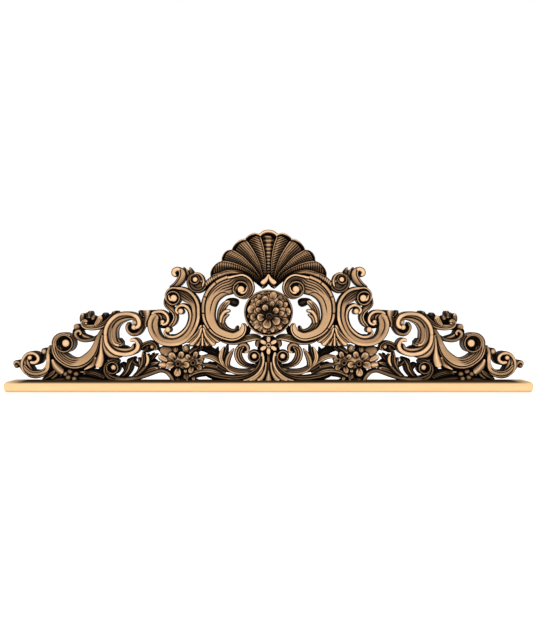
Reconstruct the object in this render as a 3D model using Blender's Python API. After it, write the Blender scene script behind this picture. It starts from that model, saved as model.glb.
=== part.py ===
"""A carved baroque cresting: a pierced limewood relief standing on a plain bullnosed rail."""
import math

import bmesh
import bpy
from mathutils import Vector

# Driving sizes in millimetres
MM = 0.001
RAIL_LENGTH = 1200.0
RAIL_DEPTH = 60.0
RAIL_HEIGHT = 24.0
RAIL_NOSE = 7.5
RAIL_CORNER = 10.0
JOINT_GAP = 0.3
BACK = RAIL_DEPTH / 2
FOOT = RAIL_HEIGHT + JOINT_GAP
TURN_STEP = 28.0
REACH_STEP = 36.0
FACET_BUDGET = 9700
SNAP = 0.6
FRONT_PLANE = 40.0
SIGHT_DISTANCE = 1479.0
SIGHT_HEIGHT = 184.2

# Sections: (place across the stroke from -1 to 1, drop below the crest in half-widths)
SECTIONS = {
    "bead": ((-1, 0.75), (0, 0.0), (1, 0.75)),
    "leaf": ((-1, 0.55), (0, 0.0), (1, 0.55)),
    "vein": ((-1, 0.10), (0, 0.55), (1, 0.10)),
    "strap": ((-1, 0.45), (-0.55, 0.0), (1, 0.35)),
    "scroll": ((-1, 0.30), (-0.72, 0.0), (-0.45, 0.25), (0.7, 0.22), (1, 0.30)),
    "flute": ((-1, 0.0), (0, 0.42), (1, 0.0)),
}

solids = []


def seat(x, z, height):
    """The design is laid out on the front plane; what lies deeper spreads a little from its middle."""
    grow = 1 + (FRONT_PLANE - height) / SIGHT_DISTANCE
    return x * grow, SIGHT_HEIGHT + (z - SIGHT_HEIGHT) * grow


def spline(stations, steps=12):
    """Smooth curve through the stations; every column, widths and heights too, is blended."""
    curve = []
    count = len(stations)
    for i in range(count - 1):
        a = stations[max(i - 1, 0)]
        b, c = stations[i], stations[i + 1]
        d = stations[min(i + 2, count - 1)]
        for k in range(steps):
            t = k / steps
            curve.append([0.5 * (2 * q + (r - p) * t + (2 * p - 5 * q + 4 * r - s) * t * t
                                 + (3 * q - p - 3 * r + s) * t ** 3) for p, q, r, s in zip(a, b, c, d)])
    curve.append(list(stations[-1]))
    return curve


def headings(curve):
    """Unit direction of travel at every point of a curve."""
    out = []
    for i in range(len(curve)):
        a, b = curve[max(i - 1, 0)], curve[min(i + 1, len(curve) - 1)]
        dx, dz = b[0] - a[0], b[1] - a[1]
        size = math.hypot(dx, dz) or 1.0
        out.append((dx / size, dz / size))
    return out


def thin(curve, turn, reach):
    """Keep the points where the curve has turned or run on far enough, and both ends."""
    dirs = headings(curve)
    kept, turned, run_on = [0], 0.0, 0.0
    for i in range(1, len(curve)):
        cross = dirs[i - 1][0] * dirs[i][1] - dirs[i - 1][1] * dirs[i][0]
        turned += abs(math.degrees(math.asin(max(-1.0, min(1.0, cross)))))
        run_on += math.hypot(curve[i][0] - curve[i - 1][0], curve[i][1] - curve[i - 1][1])
        if turned > turn or run_on > reach:
            kept.append(i)
            turned, run_on = 0.0, 0.0
    if kept[-1] != len(curve) - 1:
        if len(kept) > 1 and turned < 0.4 * turn and run_on < 0.4 * reach:
            kept.pop()
        kept.append(len(curve) - 1)
    return [(curve[i], dirs[i]) for i in kept]


def add_solid(name, points, faces, mirrored=True):
    """Closed lump from (x, z, height over the back) points, and its twin on the left."""
    for side in ((1, -1) if mirrored else (1,)):
        mesh = bpy.data.meshes.new(name)
        mesh.from_pydata([(side * x * MM, (BACK - h) * MM, z * MM) for x, z, h in points], [], faces)
        bm = bmesh.new()
        bm.from_mesh(mesh)
        bent = [f for f in bm.faces if len(f.verts) > 3
                and max(abs((v.co - f.verts[0].co).dot(f.normal)) for v in f.verts) > 1e-7]
        bmesh.ops.triangulate(bm, faces=bent)
        bmesh.ops.recalc_face_normals(bm, faces=bm.faces[:])
        bm.to_mesh(mesh)
        bm.free()
        solids.append(bpy.data.objects.new(name, mesh))


def stroke(name, kind, height, stations, flip=False, mirrored=True, turn=TURN_STEP, reach=REACH_STEP):
    """Sweep a section along stations (x, z, half-width); the height runs from first to last value."""
    lo, hi = height if isinstance(height, tuple) else (height, height)
    last = len(stations) - 1
    rows = [(*seat(x, z, lo + (hi - lo) * i / last), w, lo + (hi - lo) * i / last)
            for i, (x, z, w) in enumerate(stations)]
    section = SECTIONS[kind]
    grid = []
    for (x, z, w, h), (dx, dz) in thin(spline(rows), turn, reach):
        side = -1 if flip else 1
        grid.append([(x - dz * s * side * w, z + dx * s * side * w, h - drop * w) for s, drop in section])
    for edge in (0, -1):
        # The inside of a tight bend never runs backwards
        for i in range(1, len(grid)):
            (x0, z0, _), (x1, z1, h1) = grid[i - 1][edge], grid[i][edge]
            mid0, mid1 = grid[i - 1][len(section) // 2], grid[i][len(section) // 2]
            along = (x1 - x0) * (mid1[0] - mid0[0]) + (z1 - z0) * (mid1[1] - mid0[1])
            if along <= 0.05:
                step = math.hypot(mid1[0] - mid0[0], mid1[1] - mid0[1])
                grid[i][edge] = (x0 + (mid1[0] - mid0[0]) / step * 0.4, z0 + (mid1[1] - mid0[1]) / step * 0.4, h1)
    close_grid(name, grid, mirrored)


def close_grid(name, grid, mirrored=True):
    """Close a strip of rows with side walls, ends and a back that overshoots the back plane."""
    deep = -3.0 - 0.37 * (len(solids) % 9)
    wide = len(grid[0])
    points, faces = [], []
    for row in grid:
        points += row
        points += [(row[-1][0], row[-1][1], deep), (row[0][0], row[0][1], deep)]
    loop = wide + 2
    for i in range(len(grid) - 1):
        for j in range(loop):
            k = (j + 1) % loop
            faces.append((i * loop + j, i * loop + k, (i + 1) * loop + k, (i + 1) * loop + j))
    faces.append(tuple(range(loop)))
    faces.append(tuple(reversed(range(len(points) - loop, len(points)))))
    add_solid(name, points, faces, mirrored)


def leaf(name, height, base, tip, bend, width, kind="leaf", flip=False, blunt=False):
    """A leaf from base to tip that bows sideways by bend; a blunt one keeps a round end."""
    (x0, z0), (x1, z1) = base, tip
    size = math.hypot(x1 - x0, z1 - z0)
    stations = []
    shape = ((0.0, 0.6), (0.45, 1.0), (0.85, 0.85), (1.0, 0.4)) if blunt else ((0.0, 0.6), (0.45, 1.0), (1.0, 0.2))
    for t, w in shape:
        bow = 4 * t * (1 - t) * bend
        stations.append((x0 + (x1 - x0) * t - (z1 - z0) / size * bow,
                         z0 + (z1 - z0) * t + (x1 - x0) / size * bow, width * w))
    stroke(name, kind, height, stations, flip=flip, turn=38, reach=30)


def boss(name, centre, profile, sides=10, mirrored=True):
    """Turned lump on the relief's face from (radius, height) rings, outermost first."""
    deep = -3.0 - 0.37 * (len(solids) % 9)
    x0, z0 = seat(*centre, profile[-1][1])
    rings = [(profile[0][0], deep)] + list(profile)
    points, faces = [], []
    for r, h in rings:
        for i in range(sides):
            a = 2 * math.pi * (i + 0.37) / sides
            points.append((x0 + r * math.cos(a), z0 + r * math.sin(a), h))
    for k in range(len(rings) - 1):
        for i in range(sides):
            j = (i + 1) % sides
            faces.append((k * sides + i, k * sides + j, (k + 1) * sides + j, (k + 1) * sides + i))
    faces.append(tuple(range(sides)))
    faces.append(tuple(range((len(rings) - 1) * sides, len(rings) * sides)))
    add_solid(name, points, faces, mirrored)


def berry(name, centre, radius, height, mirrored=True, sides=7):
    """Round boss: a low dome with steep sides."""
    boss(name, centre, ((radius, height - radius * 0.62), (radius * 0.55, height)), sides, mirrored)


def volute(name, eye, r_eye, r_start, r_ring, start, hand, height, quarters=3.2):
    """A coil that eases from r_start in to its ring, a sunk channel and a raised eye."""
    stations = []
    for k in range(7):
        t = k / 6
        outer = r_ring + (r_start - r_ring) * 0.5 * (1 + math.cos(math.pi * t))
        inner = max(r_ring - 3.0, r_eye + 1.5)
        a = math.radians(start + hand * t * quarters * 90)
        mid, half = (outer + inner) / 2, max((outer - inner) / 2, 1.5)
        stations.append((eye[0] + mid * math.cos(a), eye[1] + mid * math.sin(a), half))
    stroke(name, "strap", (height, height + 1.5), stations, flip=hand < 0, turn=30)
    boss(name + "_eye", eye, ((r_ring, height - 1), (r_ring - 3.5, height + 0.6), (r_ring - 5.5, height - 14),
                              (r_eye, height - 12), (r_eye * 0.6, height + 2.7)), 12)


def shell():
    """Nine concave flutes that fan out from the foot and end in thick scalloped lips."""
    flutes = {
        0: ((0, 244, 7), (0, 275, 6), (0, 305, 8.5), (0, 335, 14), (0, 357, 21)),
        1: ((8, 250, 5), (11.5, 280, 7), (20, 315, 13), (28, 336, 16.5), (34, 351, 18)),
        2: ((15, 254, 6), (24, 277, 8.5), (38, 301, 12), (53, 322, 15.5), (67, 333, 18)),
        3: ((18, 247, 6), (33, 267, 8), (50, 286, 10.5), (72, 302.5, 14.5), (91, 308.5, 17)),
        4: ((16, 239, 4.5), (33, 252, 6), (56, 270, 8.5), (92, 284, 12.5), (112, 279.5, 17.5)),
    }
    lips = {0: (0, 370.5), 1: (37.5, 363), 2: (77, 342), 3: (104, 314), 4: (127, 282)}
    for index, stations in flutes.items():
        rows = []
        last = len(stations) - 1
        heights = [13, 18, 24, 29, 33]
        for (x, z, w, h), (dx, dz) in thin(spline([s + (heights[i],) for i, s in enumerate(stations)]), 16, 34):
            hollow = min(0.45 * w, 5.0)
            rows.append([(x - dz * s * w, z + dx * s * w, h + index * 0.23 - hollow * (1 - s * s))
                         for s in (-1, 0, 1)])
        x0, z0, w0 = stations[last]
        tip_x, tip_z = lips[index]
        dx, dz = tip_x - x0, tip_z - z0
        size = math.hypot(dx, dz)
        dx, dz = dx / size, dz / size
        rows[-1] = [(x0 - dz * s * w0, z0 + dx * s * w0, 33 + index * 0.23 - 5 * (1 - s * s)) for s in (-1, 0, 1)]
        for t, wide, h in ((0.25, 1.02, 39), (0.66, 0.84, 41.2), (1.0, 0.5, 35.5)):
            cx, cz = x0 + dx * size * t, z0 + dz * size * t
            rows.append([(cx - dz * s * w0 * wide, cz + dx * s * w0 * wide, h - index * 0.31 - 1.5 * s * s)
                         for s in (-1, 0, 1)])
        close_grid("flute_%d" % index, rows, mirrored=index > 0)
    leaf("shell_foot_outer", 33, (4, 262), (15, 241), 7, 6)
    leaf("shell_foot_tip", 25, (8, 252), (14, 234), -2, 5)


def medallion():
    """Rope-edged roundel with a domed field and a rose of cupped petals."""
    boss("medallion", (0, 182.6), ((56, 34.5), (52, 35.5), (50.4, 26.5), (34, 30.5)), 36, False)
    for ring, (count, reach, r, high, phase) in enumerate(((5, 14, 8.5, 39.5, 48), (7, 28, 8.5, 37.4, 20),
                                                         (10, 41, 7.5, 34.5, 5))):
        for i in range(count):
            a = math.radians(phase + 360 * i / count)
            berry("petal", (1.5 - ring + reach * math.cos(a), 174 + 3.5 * ring + reach * math.sin(a)), r,
                  high + 0.17 * (i % 3), False, 6)
    berry("rose_heart", (2, 173), 5.5, 34.2, False)


def great_scrolls():
    """The two large C-scrolls of each half with their volutes and inner branches."""
    stroke("scroll_1", "scroll", (35, 37), [(66, 258, 10), (86, 246, 22.5), (110, 237.5, 21.5), (129.5, 218.5, 19.5),
           (138.2, 192, 17.8), (135.5, 162.2, 14), (117, 134.8, 10.5), (84, 123.5, 8), (63, 131, 8),
           (57.5, 146, 6.5), (61, 156, 3)], flip=True)
    volute("volute_1", (63, 233), 8.5, 34.5, 17, 62, 1, 37)
    stroke("branch_1", "strap", (30, 33), [(71, 151, 4), (74, 141, 5), (84, 137, 6), (97, 142, 7), (107, 154, 8),
           (110.5, 171, 8), (108, 187, 8), (99, 200, 7), (88, 206, 4)], flip=True)
    stroke("branch_1_head", "leaf", (27, 19), [(99, 203, 4), (88, 206, 7.5), (77, 203, 9.5), (67, 199, 5)])
    stroke("branch_1_leaf_a", "leaf", (34, 37), [(110, 157, 3), (107.5, 171, 5), (100, 182, 5), (88, 185.5, 4)])
    stroke("branch_1_leaf_b", "leaf", (32, 34), [(104, 155, 3), (101.5, 168, 4), (91, 177, 2.5)])
    stroke("rope_band", "bead", (24, 31), [(58, 270, 4), (78, 273.5, 5.5), (95, 272.5, 6), (112, 267, 6.5),
           (128, 258.5, 6.5), (141, 248, 6), (150, 238, 6)])
    stroke("ear", "strap", (32.6, 36), [(145, 243, 6), (152, 235, 6), (163, 231, 6.5), (176, 236.5, 7.5),
           (183, 249, 8), (180, 262, 8), (171, 269.5, 6.5), (160, 268, 5.5), (153.5, 260, 4.5), (153, 250, 3.5)])
    boss("ear_floor", (167, 252), ((15, 19), (13, 20)), 9)
    berry("ear_eye", (168, 257), 6, 37)
    leaf("ear_leaf_a", 27, (177, 262), (181, 285), 2, 5.5)
    leaf("ear_leaf_b", 24, (186, 253), (192.5, 285), -2, 5.5)
    stroke("hook", "strap", (30, 36), [(226, 238, 3), (212, 245, 6.5), (201, 256, 8.5), (197, 268, 8.5),
           (201, 277.5, 6.5), (209, 280, 5)])
    stroke("hook_curl", "bead", (36.5, 34), [(204, 279.3, 5), (213, 278.5, 5), (217, 271, 4.5), (212, 264, 3.5)])
    stroke("scroll_2", "scroll", (37.5, 36), [(212, 231.5, 9.5), (202, 230, 12), (188, 226, 14), (173, 216, 13),
           (165.5, 202, 10.5), (164, 185, 10), (164.5, 167, 10), (170, 150, 9.5), (179.5, 134.5, 9.5),
           (193, 121.5, 9.5), (208, 114, 9.5), (225, 112, 9.5), (241.5, 115.5, 10), (254.5, 125.5, 11),
           (262, 139, 12.5), (265, 153, 13), (262.5, 166, 12), (256, 176, 9)])
    volute("volute_2", (217, 214), 8, 26.5, 16.5, 105, -1, 38, 2.0)
    stroke("volute_2_tail", "bead", (35, 39), [(266, 177, 4), (252, 183.5, 4.5), (240, 181.5, 4.5), (231.5, 174, 4),
           (229.5, 164, 4), (234, 155, 4), (242, 154.5, 4), (245.5, 161, 4)])
    boss("tail_floor", (239, 166), ((14, 20.5), (12, 21.5)), 9)
    stroke("tail_leaf", "leaf", (18, 24), [(226, 186, 3), (221, 172, 5), (225, 158, 6), (236, 149, 5), (250, 150, 4)])
    stroke("tendril_a", "bead", (37, 31), [(206, 177, 3), (210, 184, 4), (206, 193, 4.5), (197, 197, 4.5),
           (186, 193, 4.5), (179, 183, 4.5)])
    stroke("tendril_b", "bead", (31.5, 34), [(182, 188, 4), (177.5, 176, 4), (178, 164, 4), (183, 150, 4.5),
           (192, 137, 4.5), (203, 128, 4), (216, 123, 4), (229, 125, 4), (237, 134, 4), (234, 142, 3.5)])
    berry("tendril_bud_a", (201, 183), 7, 38)
    berry("tendril_bud_b", (230, 141), 7, 38.4)
    stroke("strap_2", "strap", (25, 28), [(230, 224, 2.5), (234, 211, 5), (233, 200, 7), (225, 192, 8),
           (216.5, 182, 6.5), (213, 170, 5.5), (217, 158, 5.5), (227, 148, 4)], flip=True)
    stroke("tulip", "leaf", (30, 33), [(282, 138, 3), (280, 155, 5), (277, 168, 9), (276, 178, 13), (277, 186, 13)])
    berry("tulip_curl", (291, 184), 6.5, 24)


def pleat_fan():
    """Pleated fan under the place where the two great scrolls meet."""
    middle = 151
    for side in (-1, 1):
        for lines, h in ((((2, 150, 2.5), (17, 130, 5), (32, 119, 5.5), (48, 113.5, 4)), 35.5),
                         (((1.5, 140, 2.5), (11, 125, 5.5), (24, 113.5, 6.5), (36, 109, 5)), 37),
                         (((1, 132, 3), (7, 117, 7), (14, 106, 7.5)), 35.1)):
            stroke("pleat", "leaf", (h - 1, h + side * 0.3), [(middle + side * x, z, w) for x, z, w in lines], turn=40)
    stroke("pleat_ridge", "leaf", (36, 38.2), [(middle, 162, 2), (middle, 132, 4.5), (middle, 105, 6)])


def foot_spray():
    """Foliage under the roundel: flower, stem, paired volutes, bands and leaves."""
    stroke("arm_leaf", "strap", (28, 31), [(16, 121, 3.5), (28, 124, 6.5), (42, 122, 8), (58, 116, 6.5), (75, 111.5, 5.5),
           (92, 112.5, 5.5), (110, 118, 4)])
    stroke("arm_curl", "bead", (26, 22), [(18, 119, 3), (28, 113, 4), (30, 106, 3.5), (24, 101, 3)])
    stroke("side_tie", "leaf", (22, 20), [(43, 152, 4), (47, 139, 6), (52, 124, 5)])
    for i in range(6):
        c, s = math.cos(math.radians(30 + 60 * i)), math.sin(math.radians(30 + 60 * i))
        stroke("flower_petal", "vein", (27, 30 + 0.13 * i), [(5 * c, 106 + 5 * s, 2.5), (13 * c, 106 + 13 * s, 6),
               (20.5 * c, 106 + 20.5 * s, 3.5)], mirrored=False, turn=50, reach=40)
    berry("flower_heart", (0, 106), 6, 31, False)
    stroke("stem", "leaf", (24, 27), [(0, 92, 5), (0, 60, 5), (0, 22, 7)], mirrored=False)
    stroke("stem_pleat_a", "vein", (25, 26), [(3, 74, 2.5), (6, 56, 4.5), (15, 38, 5.5), (30, 23, 6)])
    stroke("stem_pleat_b", "vein", (22, 23), [(1, 60, 3), (4, 42, 5), (12, 20, 8)])
    stroke("curl_7", "bead", (28, 32), [(56, 26, 4), (32, 34, 5), (18, 49, 5), (11.5, 66, 5), (13, 82, 5), (21, 93, 5),
           (32, 95.5, 5)])
    stroke("curl_7_end", "bead", (32.5, 35), [(27, 95, 5), (38, 94, 5), (45, 86, 5), (45, 76, 4.5), (38, 68.5, 4),
           (29, 68.5, 3.5), (22, 76, 3)])
    berry("curl_7_eye", (32, 80), 5.5, 35)
    boss("curl_7_floor", (31, 81), ((13, 16), (12, 17)), 8)
    stroke("curl_8", "strap", (24, 33), [(24, 57, 4), (42, 58, 5), (57, 65, 6.5), (67, 78, 8), (69, 90, 8),
           (64.5, 99.5, 6.5), (56, 102.5, 5)])
    stroke("curl_8_end", "bead", (33.5, 34), [(61, 102, 5), (52, 101.5, 4.5), (47.5, 94, 4), (53, 88, 3.5)])
    stroke("band_2", "strap", (25, 28), [(18, 58, 4), (35, 49, 4.5), (55, 45.5, 5), (75, 48, 5.5), (90, 55, 5.5),
           (103, 63, 4)])
    leaf("spray_1", 30, (80, 50), (83, 100), -8, 7)
    leaf("spray_2", 28, (87, 52), (94, 110), -7, 7.5)
    leaf("spray_3", 31, (92, 54), (104, 103), -9, 7)
    stroke("spray_4", "leaf", (22, 17), [(101, 58, 6), (113, 76, 9), (127, 89, 9), (143, 95, 6), (160, 95, 2)])
    leaf("spray_4b", 19, (116, 78), (116, 103), -3, 6)
    leaf("spray_4c", 18, (126, 86), (146, 106), 3, 6)
    leaf("spray_5", 30, (80, 48), (155, 75), 8, 6, flip=True)
    leaf("spray_6", 21, (84, 41), (140, 62), -3, 7)
    leaf("spray_7a", 27, (66, 28), (138, 46), 2, 6)
    leaf("spray_7b", 28, (112, 38), (178, 30), 9, 5.5)
    stroke("spray_8", "leaf", (20, 18), [(52, 32, 6), (85, 28, 6), (124, 20, 5)])


def flowers():
    """Two open flowers with their leaves, between the spray and the arched stem."""
    boss("flower_1", (206, 64), ((15, 23), (9, 31), (4.5, 24)), 9)
    for x, z, r in ((220, 81, 10.5), (198, 84, 9.5), (224, 60, 11.5), (208, 42, 10.5), (189, 61, 10)):
        berry("flower_1_petal", (x, z), r, 33 - abs(x - 206) * 0.11)
    boss("flower_2", (172, 66), ((13, 22), (8.5, 31.5), (4.5, 24)), 9)
    for x, z, r in ((167, 83, 9), (155, 72, 9.5), (159, 54, 9), (177, 49, 9.5)):
        berry("flower_2_petal", (x, z), r, 32 - abs(x - 172) * 0.12)
    stroke("cluster_floor", "bead", (15, 16.5), [(155, 62, 14), (180, 66, 22), (206, 64, 24), (228, 70, 14)])
    leaf("cluster_1", 31, (224, 72), (253, 81), -2, 8)
    leaf("cluster_2", 30, (226, 62), (250, 60), 2, 8)
    stroke("cluster_3", "leaf", (28, 30), [(200, 96, 8), (224, 99.5, 10.5), (249, 96, 6)])
    stroke("cluster_8", "leaf", (21, 23), [(146, 105, 4), (164, 99, 6), (184, 97, 8), (204, 100, 7)])
    leaf("cluster_4", 27, (200, 84), (186, 110), 3, 8)
    leaf("cluster_5", 26, (206, 46), (184, 24), -3, 7)
    leaf("cluster_6", 24, (196, 56), (168, 28), 3, 8)
    stroke("cluster_7", "leaf", (20, 22), [(160, 22, 5), (185, 27, 8), (206, 28, 7), (218, 21, 5)])


def arch_stem():
    """Arched stem with its volute, the leaves that spring from it and small curls."""
    stroke("arch", "bead", (26, 27), [(216, 20, 4), (223, 33, 5), (234, 44.5, 5), (248, 47.5, 5), (264, 42.5, 5),
           (282, 36, 5), (302, 30.5, 5), (330, 27, 5.5), (352, 28, 5.5)])
    stroke("curl_9", "strap", (29, 34), [(322, 27, 4), (345, 28, 6), (362, 32, 7), (371, 43, 7), (371, 57, 6.5),
           (363, 66.5, 6), (352, 69, 5.5), (343, 63, 4.5)], flip=True)
    stroke("curl_9_end", "bead", (34, 35), [(348, 68, 4.5), (341, 60, 4), (341, 51, 4), (348, 44.5, 3.5)])
    boss("curl_9_floor", (355, 54), ((13, 17), (12, 18)), 8)
    berry("curl_9_eye", (354, 55), 5.5, 34)
    leaf("arch_1", 27, (302, 31), (249, 63), -7, 7)
    leaf("arch_2", 24, (302, 36), (252, 82), -6, 7)
    leaf("arch_3", 22, (298, 40), (262, 90), -4, 7.5)
    leaf("arch_4", 31, (303, 38), (279, 92), 9, 6.5)
    leaf("arch_5", 26, (306, 38), (291, 93), 8, 6)
    leaf("arch_6", 22, (314, 30), (299, 78), 4, 5)
    stroke("arch_7", "leaf", (19, 20), [(338, 31, 4), (327, 42, 7), (320, 54, 9.5), (316, 66, 9), (306, 77, 5)])
    stroke("arch_curl_a", "bead", (28, 33), [(290, 101, 5), (281, 109.5, 5), (269, 112.5, 4.5), (260, 107, 4),
           (258, 99, 3.5), (264, 95, 3)])
    berry("arch_curl_eye", (267, 103), 5, 31)
    boss("arch_curl_floor", (268, 102), ((10, 19), (9, 20)), 8)
    leaf("arch_curl_b", 26, (270, 97), (286, 88), -3, 5)
    stroke("arch_tie", "leaf", (18, 19), [(276, 92, 8), (288, 100, 7), (300, 100, 6)])


def third_scroll():
    """The third C-scroll with its beaded edge."""
    stroke("scroll_3", "strap", (31, 30), [(298, 164, 5), (315, 169.5, 8), (334, 167, 9.5), (348, 158, 12),
           (356, 143, 14.5), (357, 127, 15.5), (352, 112, 13.5), (341, 102, 10), (326, 96, 9.5), (310, 97, 6)])
    stroke("scroll_3_bead_a", "bead", (38, 37.2), [(305, 145, 4.5), (297, 151, 5.5), (296.5, 161, 5.5),
           (302, 170.5, 5.5), (313, 176.5, 5.5), (327, 178, 5.5), (343, 175.5, 5.5), (356, 167, 5.5), (366, 155, 5.5),
           (371.5, 142, 5.5), (373, 128, 5.5)])
    stroke("scroll_3_bead_b", "bead", (37, 39), [(373, 132, 5.5), (371, 113, 5.5), (363.5, 99.5, 5.5), (352, 90, 5.5),
           (338, 85.5, 5.5), (324, 85, 5.5), (311, 88.5, 5.5), (302, 95, 5.5), (298.5, 105, 5.5), (302, 114.5, 5),
           (310, 118.5, 4.5), (317, 115, 4)])
    berry("scroll_3_bud", (308, 147), 6, 38)
    stroke("scroll_3_floor", "leaf", (19, 18), [(290, 161, 5), (297, 150, 8), (308, 143, 9), (318, 146, 8), (322, 156, 7)])
    stroke("scroll_3_ring", "bead", (26, 25), [(287, 168, 5), (287.5, 149, 4.5), (297, 134, 4.5), (311, 130.5, 4.5),
           (321.5, 138, 4), (324, 149, 4), (318, 158, 4)])
    stroke("scroll_3_tie", "leaf", (22, 22), [(272, 155, 5), (286, 162, 6), (296, 170, 5)])
    leaf("scroll_3_inner", 34, (352, 130), (340, 103), -4, 4.5)


def crest_leaf():
    """Acanthus crest over the long S-scroll, with the tendril under it."""
    stroke("crest", "strap", (31, 35), [(350, 177, 5), (363, 167, 7), (377, 156, 8), (391, 150.5, 8), (407, 150, 7.5),
           (420, 152, 6), (424, 158, 4.5)])
    stroke("crest_floor", "leaf", (21, 22), [(358, 172, 7), (376, 167, 9), (394, 164, 10), (412, 162, 10), (426, 158, 6)])
    for base, tip, bend, w, h in (((374, 164), (348, 185), 2, 6, 33), ((368, 162), (371, 181), -2, 7.5, 27.5),
                                  ((381, 156), (388, 174), -3, 8.5, 33.5), ((394, 154), (404, 183), -3, 8.5, 34.5),
                                  ((407, 155), (418, 179), -2, 8, 30), ((415, 154), (429, 176), -3, 7, 32),
                                  ((418, 152), (432, 163), -2, 6, 30)):
        leaf("crest_lobe", h, base, tip, bend, w, blunt=True)
    stroke("tendril_4", "bead", (27, 30), [(371, 166, 4), (378, 149, 4.5), (388, 132, 4.5), (400, 121, 4.5),
           (413, 116, 4.5), (427, 116, 4.5), (438, 121, 4.5), (443, 132, 5.5), (440, 143, 6.5), (430, 149, 4)])
    stroke("tendril_4_leaf", "leaf", (23, 26), [(401, 122, 3), (414, 124, 4.5), (424, 130, 4.5), (428, 140, 4),
           (426, 150, 4)])
    stroke("tendril_4_tie", "leaf", (22, 24), [(383, 146, 4), (399, 142, 4), (414, 146, 5)])


def long_scroll():
    """The long S-scroll that sweeps up to the outer volute, with its petals."""
    stroke("scroll_5", "scroll", (31, 36), [(377, 143, 6), (387, 127, 6.5), (393.5, 108, 8), (401, 91.5, 10.5),
           (412, 79, 12.5), (426, 69, 12.5), (442, 64, 12.5), (456, 66.5, 13), (469, 73, 13), (480, 83, 12.5),
           (486, 96, 12), (486.5, 107, 9.5)])
    volute("volute_5", (464, 111), 8.5, 34, 21.5, -12, 1, 36, 1.5)
    stroke("petal_1", "leaf", (31, 28), [(380, 130, 4), (378.5, 112, 6), (373.5, 97, 8), (363, 86.5, 9), (350, 80, 6),
           (335, 77.5, 3)])
    stroke("petal_2", "leaf", (32, 36), [(383, 122, 3), (384.5, 92, 7), (386, 73, 10), (388, 60, 9), (391, 52, 4)])
    leaf("petal_3", 33, (394, 88), (422, 48), 5, 5)
    stroke("petal_back", "leaf", (20, 21), [(378, 90, 5), (377, 68, 6), (384, 48, 7), (398, 40, 7)])


def end_spray():
    """Low leaves, berries and the outer tendril that ends in a small volute and a hooked tip."""
    leaf("end_leaf_1", 26, (374, 32), (432, 46), 4, 9)
    stroke("end_rail", "leaf", (19, 20), [(362, 24, 8), (400, 28, 9), (436, 30, 9), (470, 28, 8), (500, 24, 7),
           (518, 22, 6)])
    for x, z, r in ((440, 40, 6.5), (444, 29, 6), (454, 46, 6.5), (458, 32, 6.5), (464, 40, 6)):
        berry("end_berry", (x, z), r, 26 + (x % 5) * 0.31)
    stroke("end_leaf_2", "leaf", (28, 25), [(493, 68, 5), (486, 57, 8.5), (478, 46, 8.5), (470, 35, 4)])
    leaf("end_leaf_3", 23, (480, 28), (513, 47), 3, 6)
    stroke("tendril_6", "strap", (30, 31), [(498, 106, 4), (504, 90, 4.5), (504.5, 68, 5), (509, 51, 5.5),
           (518, 43, 7), (531, 39.5, 8.5), (546, 42, 9.5), (556, 51, 8.5), (561, 63, 6.5)], flip=True)
    stroke("tendril_6_coil", "bead", (31.5, 35), [(563, 56, 5), (561, 72, 5), (554, 84, 5), (543, 90, 4.5),
           (533, 88, 4.5), (527, 80, 4), (530, 71, 4), (539, 67, 3.5)])
    berry("tendril_6_bud", (546, 78), 6, 36)
    boss("tendril_6_floor", (543, 75), ((15, 18), (13, 19)), 9)
    berry("tendril_6_ball", (513, 92), 8, 30)
    leaf("tendril_6_leaf", 24, (540, 46), (510, 84), 12, 6)
    stroke("tip_hook", "bead", (27, 30), [(556, 42, 4), (565, 54, 5), (568, 64, 5), (573, 71.5, 4.5), (580, 71, 4)])
    berry("tip_ball", (579, 63), 7.5, 31)


def box(name, low, high):
    """Plain box between two corners, in millimetres."""
    mesh = bpy.data.meshes.new(name)
    bm = bmesh.new()
    bmesh.ops.create_cube(bm, size=1.0)
    for v in bm.verts:
        v.co = Vector([(low[i] if v.co[i] < 0 else high[i]) * MM for i in range(3)])
    bm.to_mesh(mesh)
    bm.free()
    return bpy.data.objects.new(name, mesh)


def boolean(target, operation, operand):
    """Apply one Boolean to the target's mesh; the operand is an object or a collection."""
    mod = target.modifiers.new("cut", "BOOLEAN")
    mod.operation = operation
    mod.solver = "EXACT"
    if isinstance(operand, bpy.types.Collection):
        mod.operand_type = "COLLECTION"
        mod.collection = operand
    else:
        mod.object = operand
    bpy.context.view_layer.update()
    done = bpy.data.meshes.new_from_object(target.evaluated_get(bpy.context.evaluated_depsgraph_get()))
    target.modifiers.clear()
    target.data = done


def material(name, colour, roughness):
    mat = bpy.data.materials.new(name)
    mat.use_nodes = True
    shader = mat.node_tree.nodes["Principled BSDF"]
    shader.inputs["Base Color"].default_value = (*colour, 1)
    shader.inputs["Roughness"].default_value = roughness
    shader.inputs["Metallic"].default_value = 0.0
    return mat


def lighten(body):
    """Merge flat faces and collapse slivers along the joins down to the facet budget."""
    bm = bmesh.new()
    bm.from_mesh(body.data)
    bmesh.ops.dissolve_limit(bm, angle_limit=math.radians(0.5), verts=bm.verts[:], edges=bm.edges[:])
    bmesh.ops.triangulate(bm, faces=bm.faces[:])
    bm.to_mesh(body.data)
    bm.free()
    mod = body.modifiers.new("collapse", "DECIMATE")
    mod.ratio = FACET_BUDGET / len(body.data.polygons)
    mod.use_collapse_triangulate = True
    bpy.context.view_layer.update()
    done = bpy.data.meshes.new_from_object(body.evaluated_get(bpy.context.evaluated_depsgraph_get()))
    body.modifiers.clear()
    body.data = done
    for v in done.vertices:
        # The back and the foot stay exactly flat
        if abs(v.co.y - BACK * MM) < SNAP * MM:
            v.co.y = BACK * MM
        if abs(v.co.z - FOOT * MM) < SNAP * MM:
            v.co.z = FOOT * MM


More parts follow.
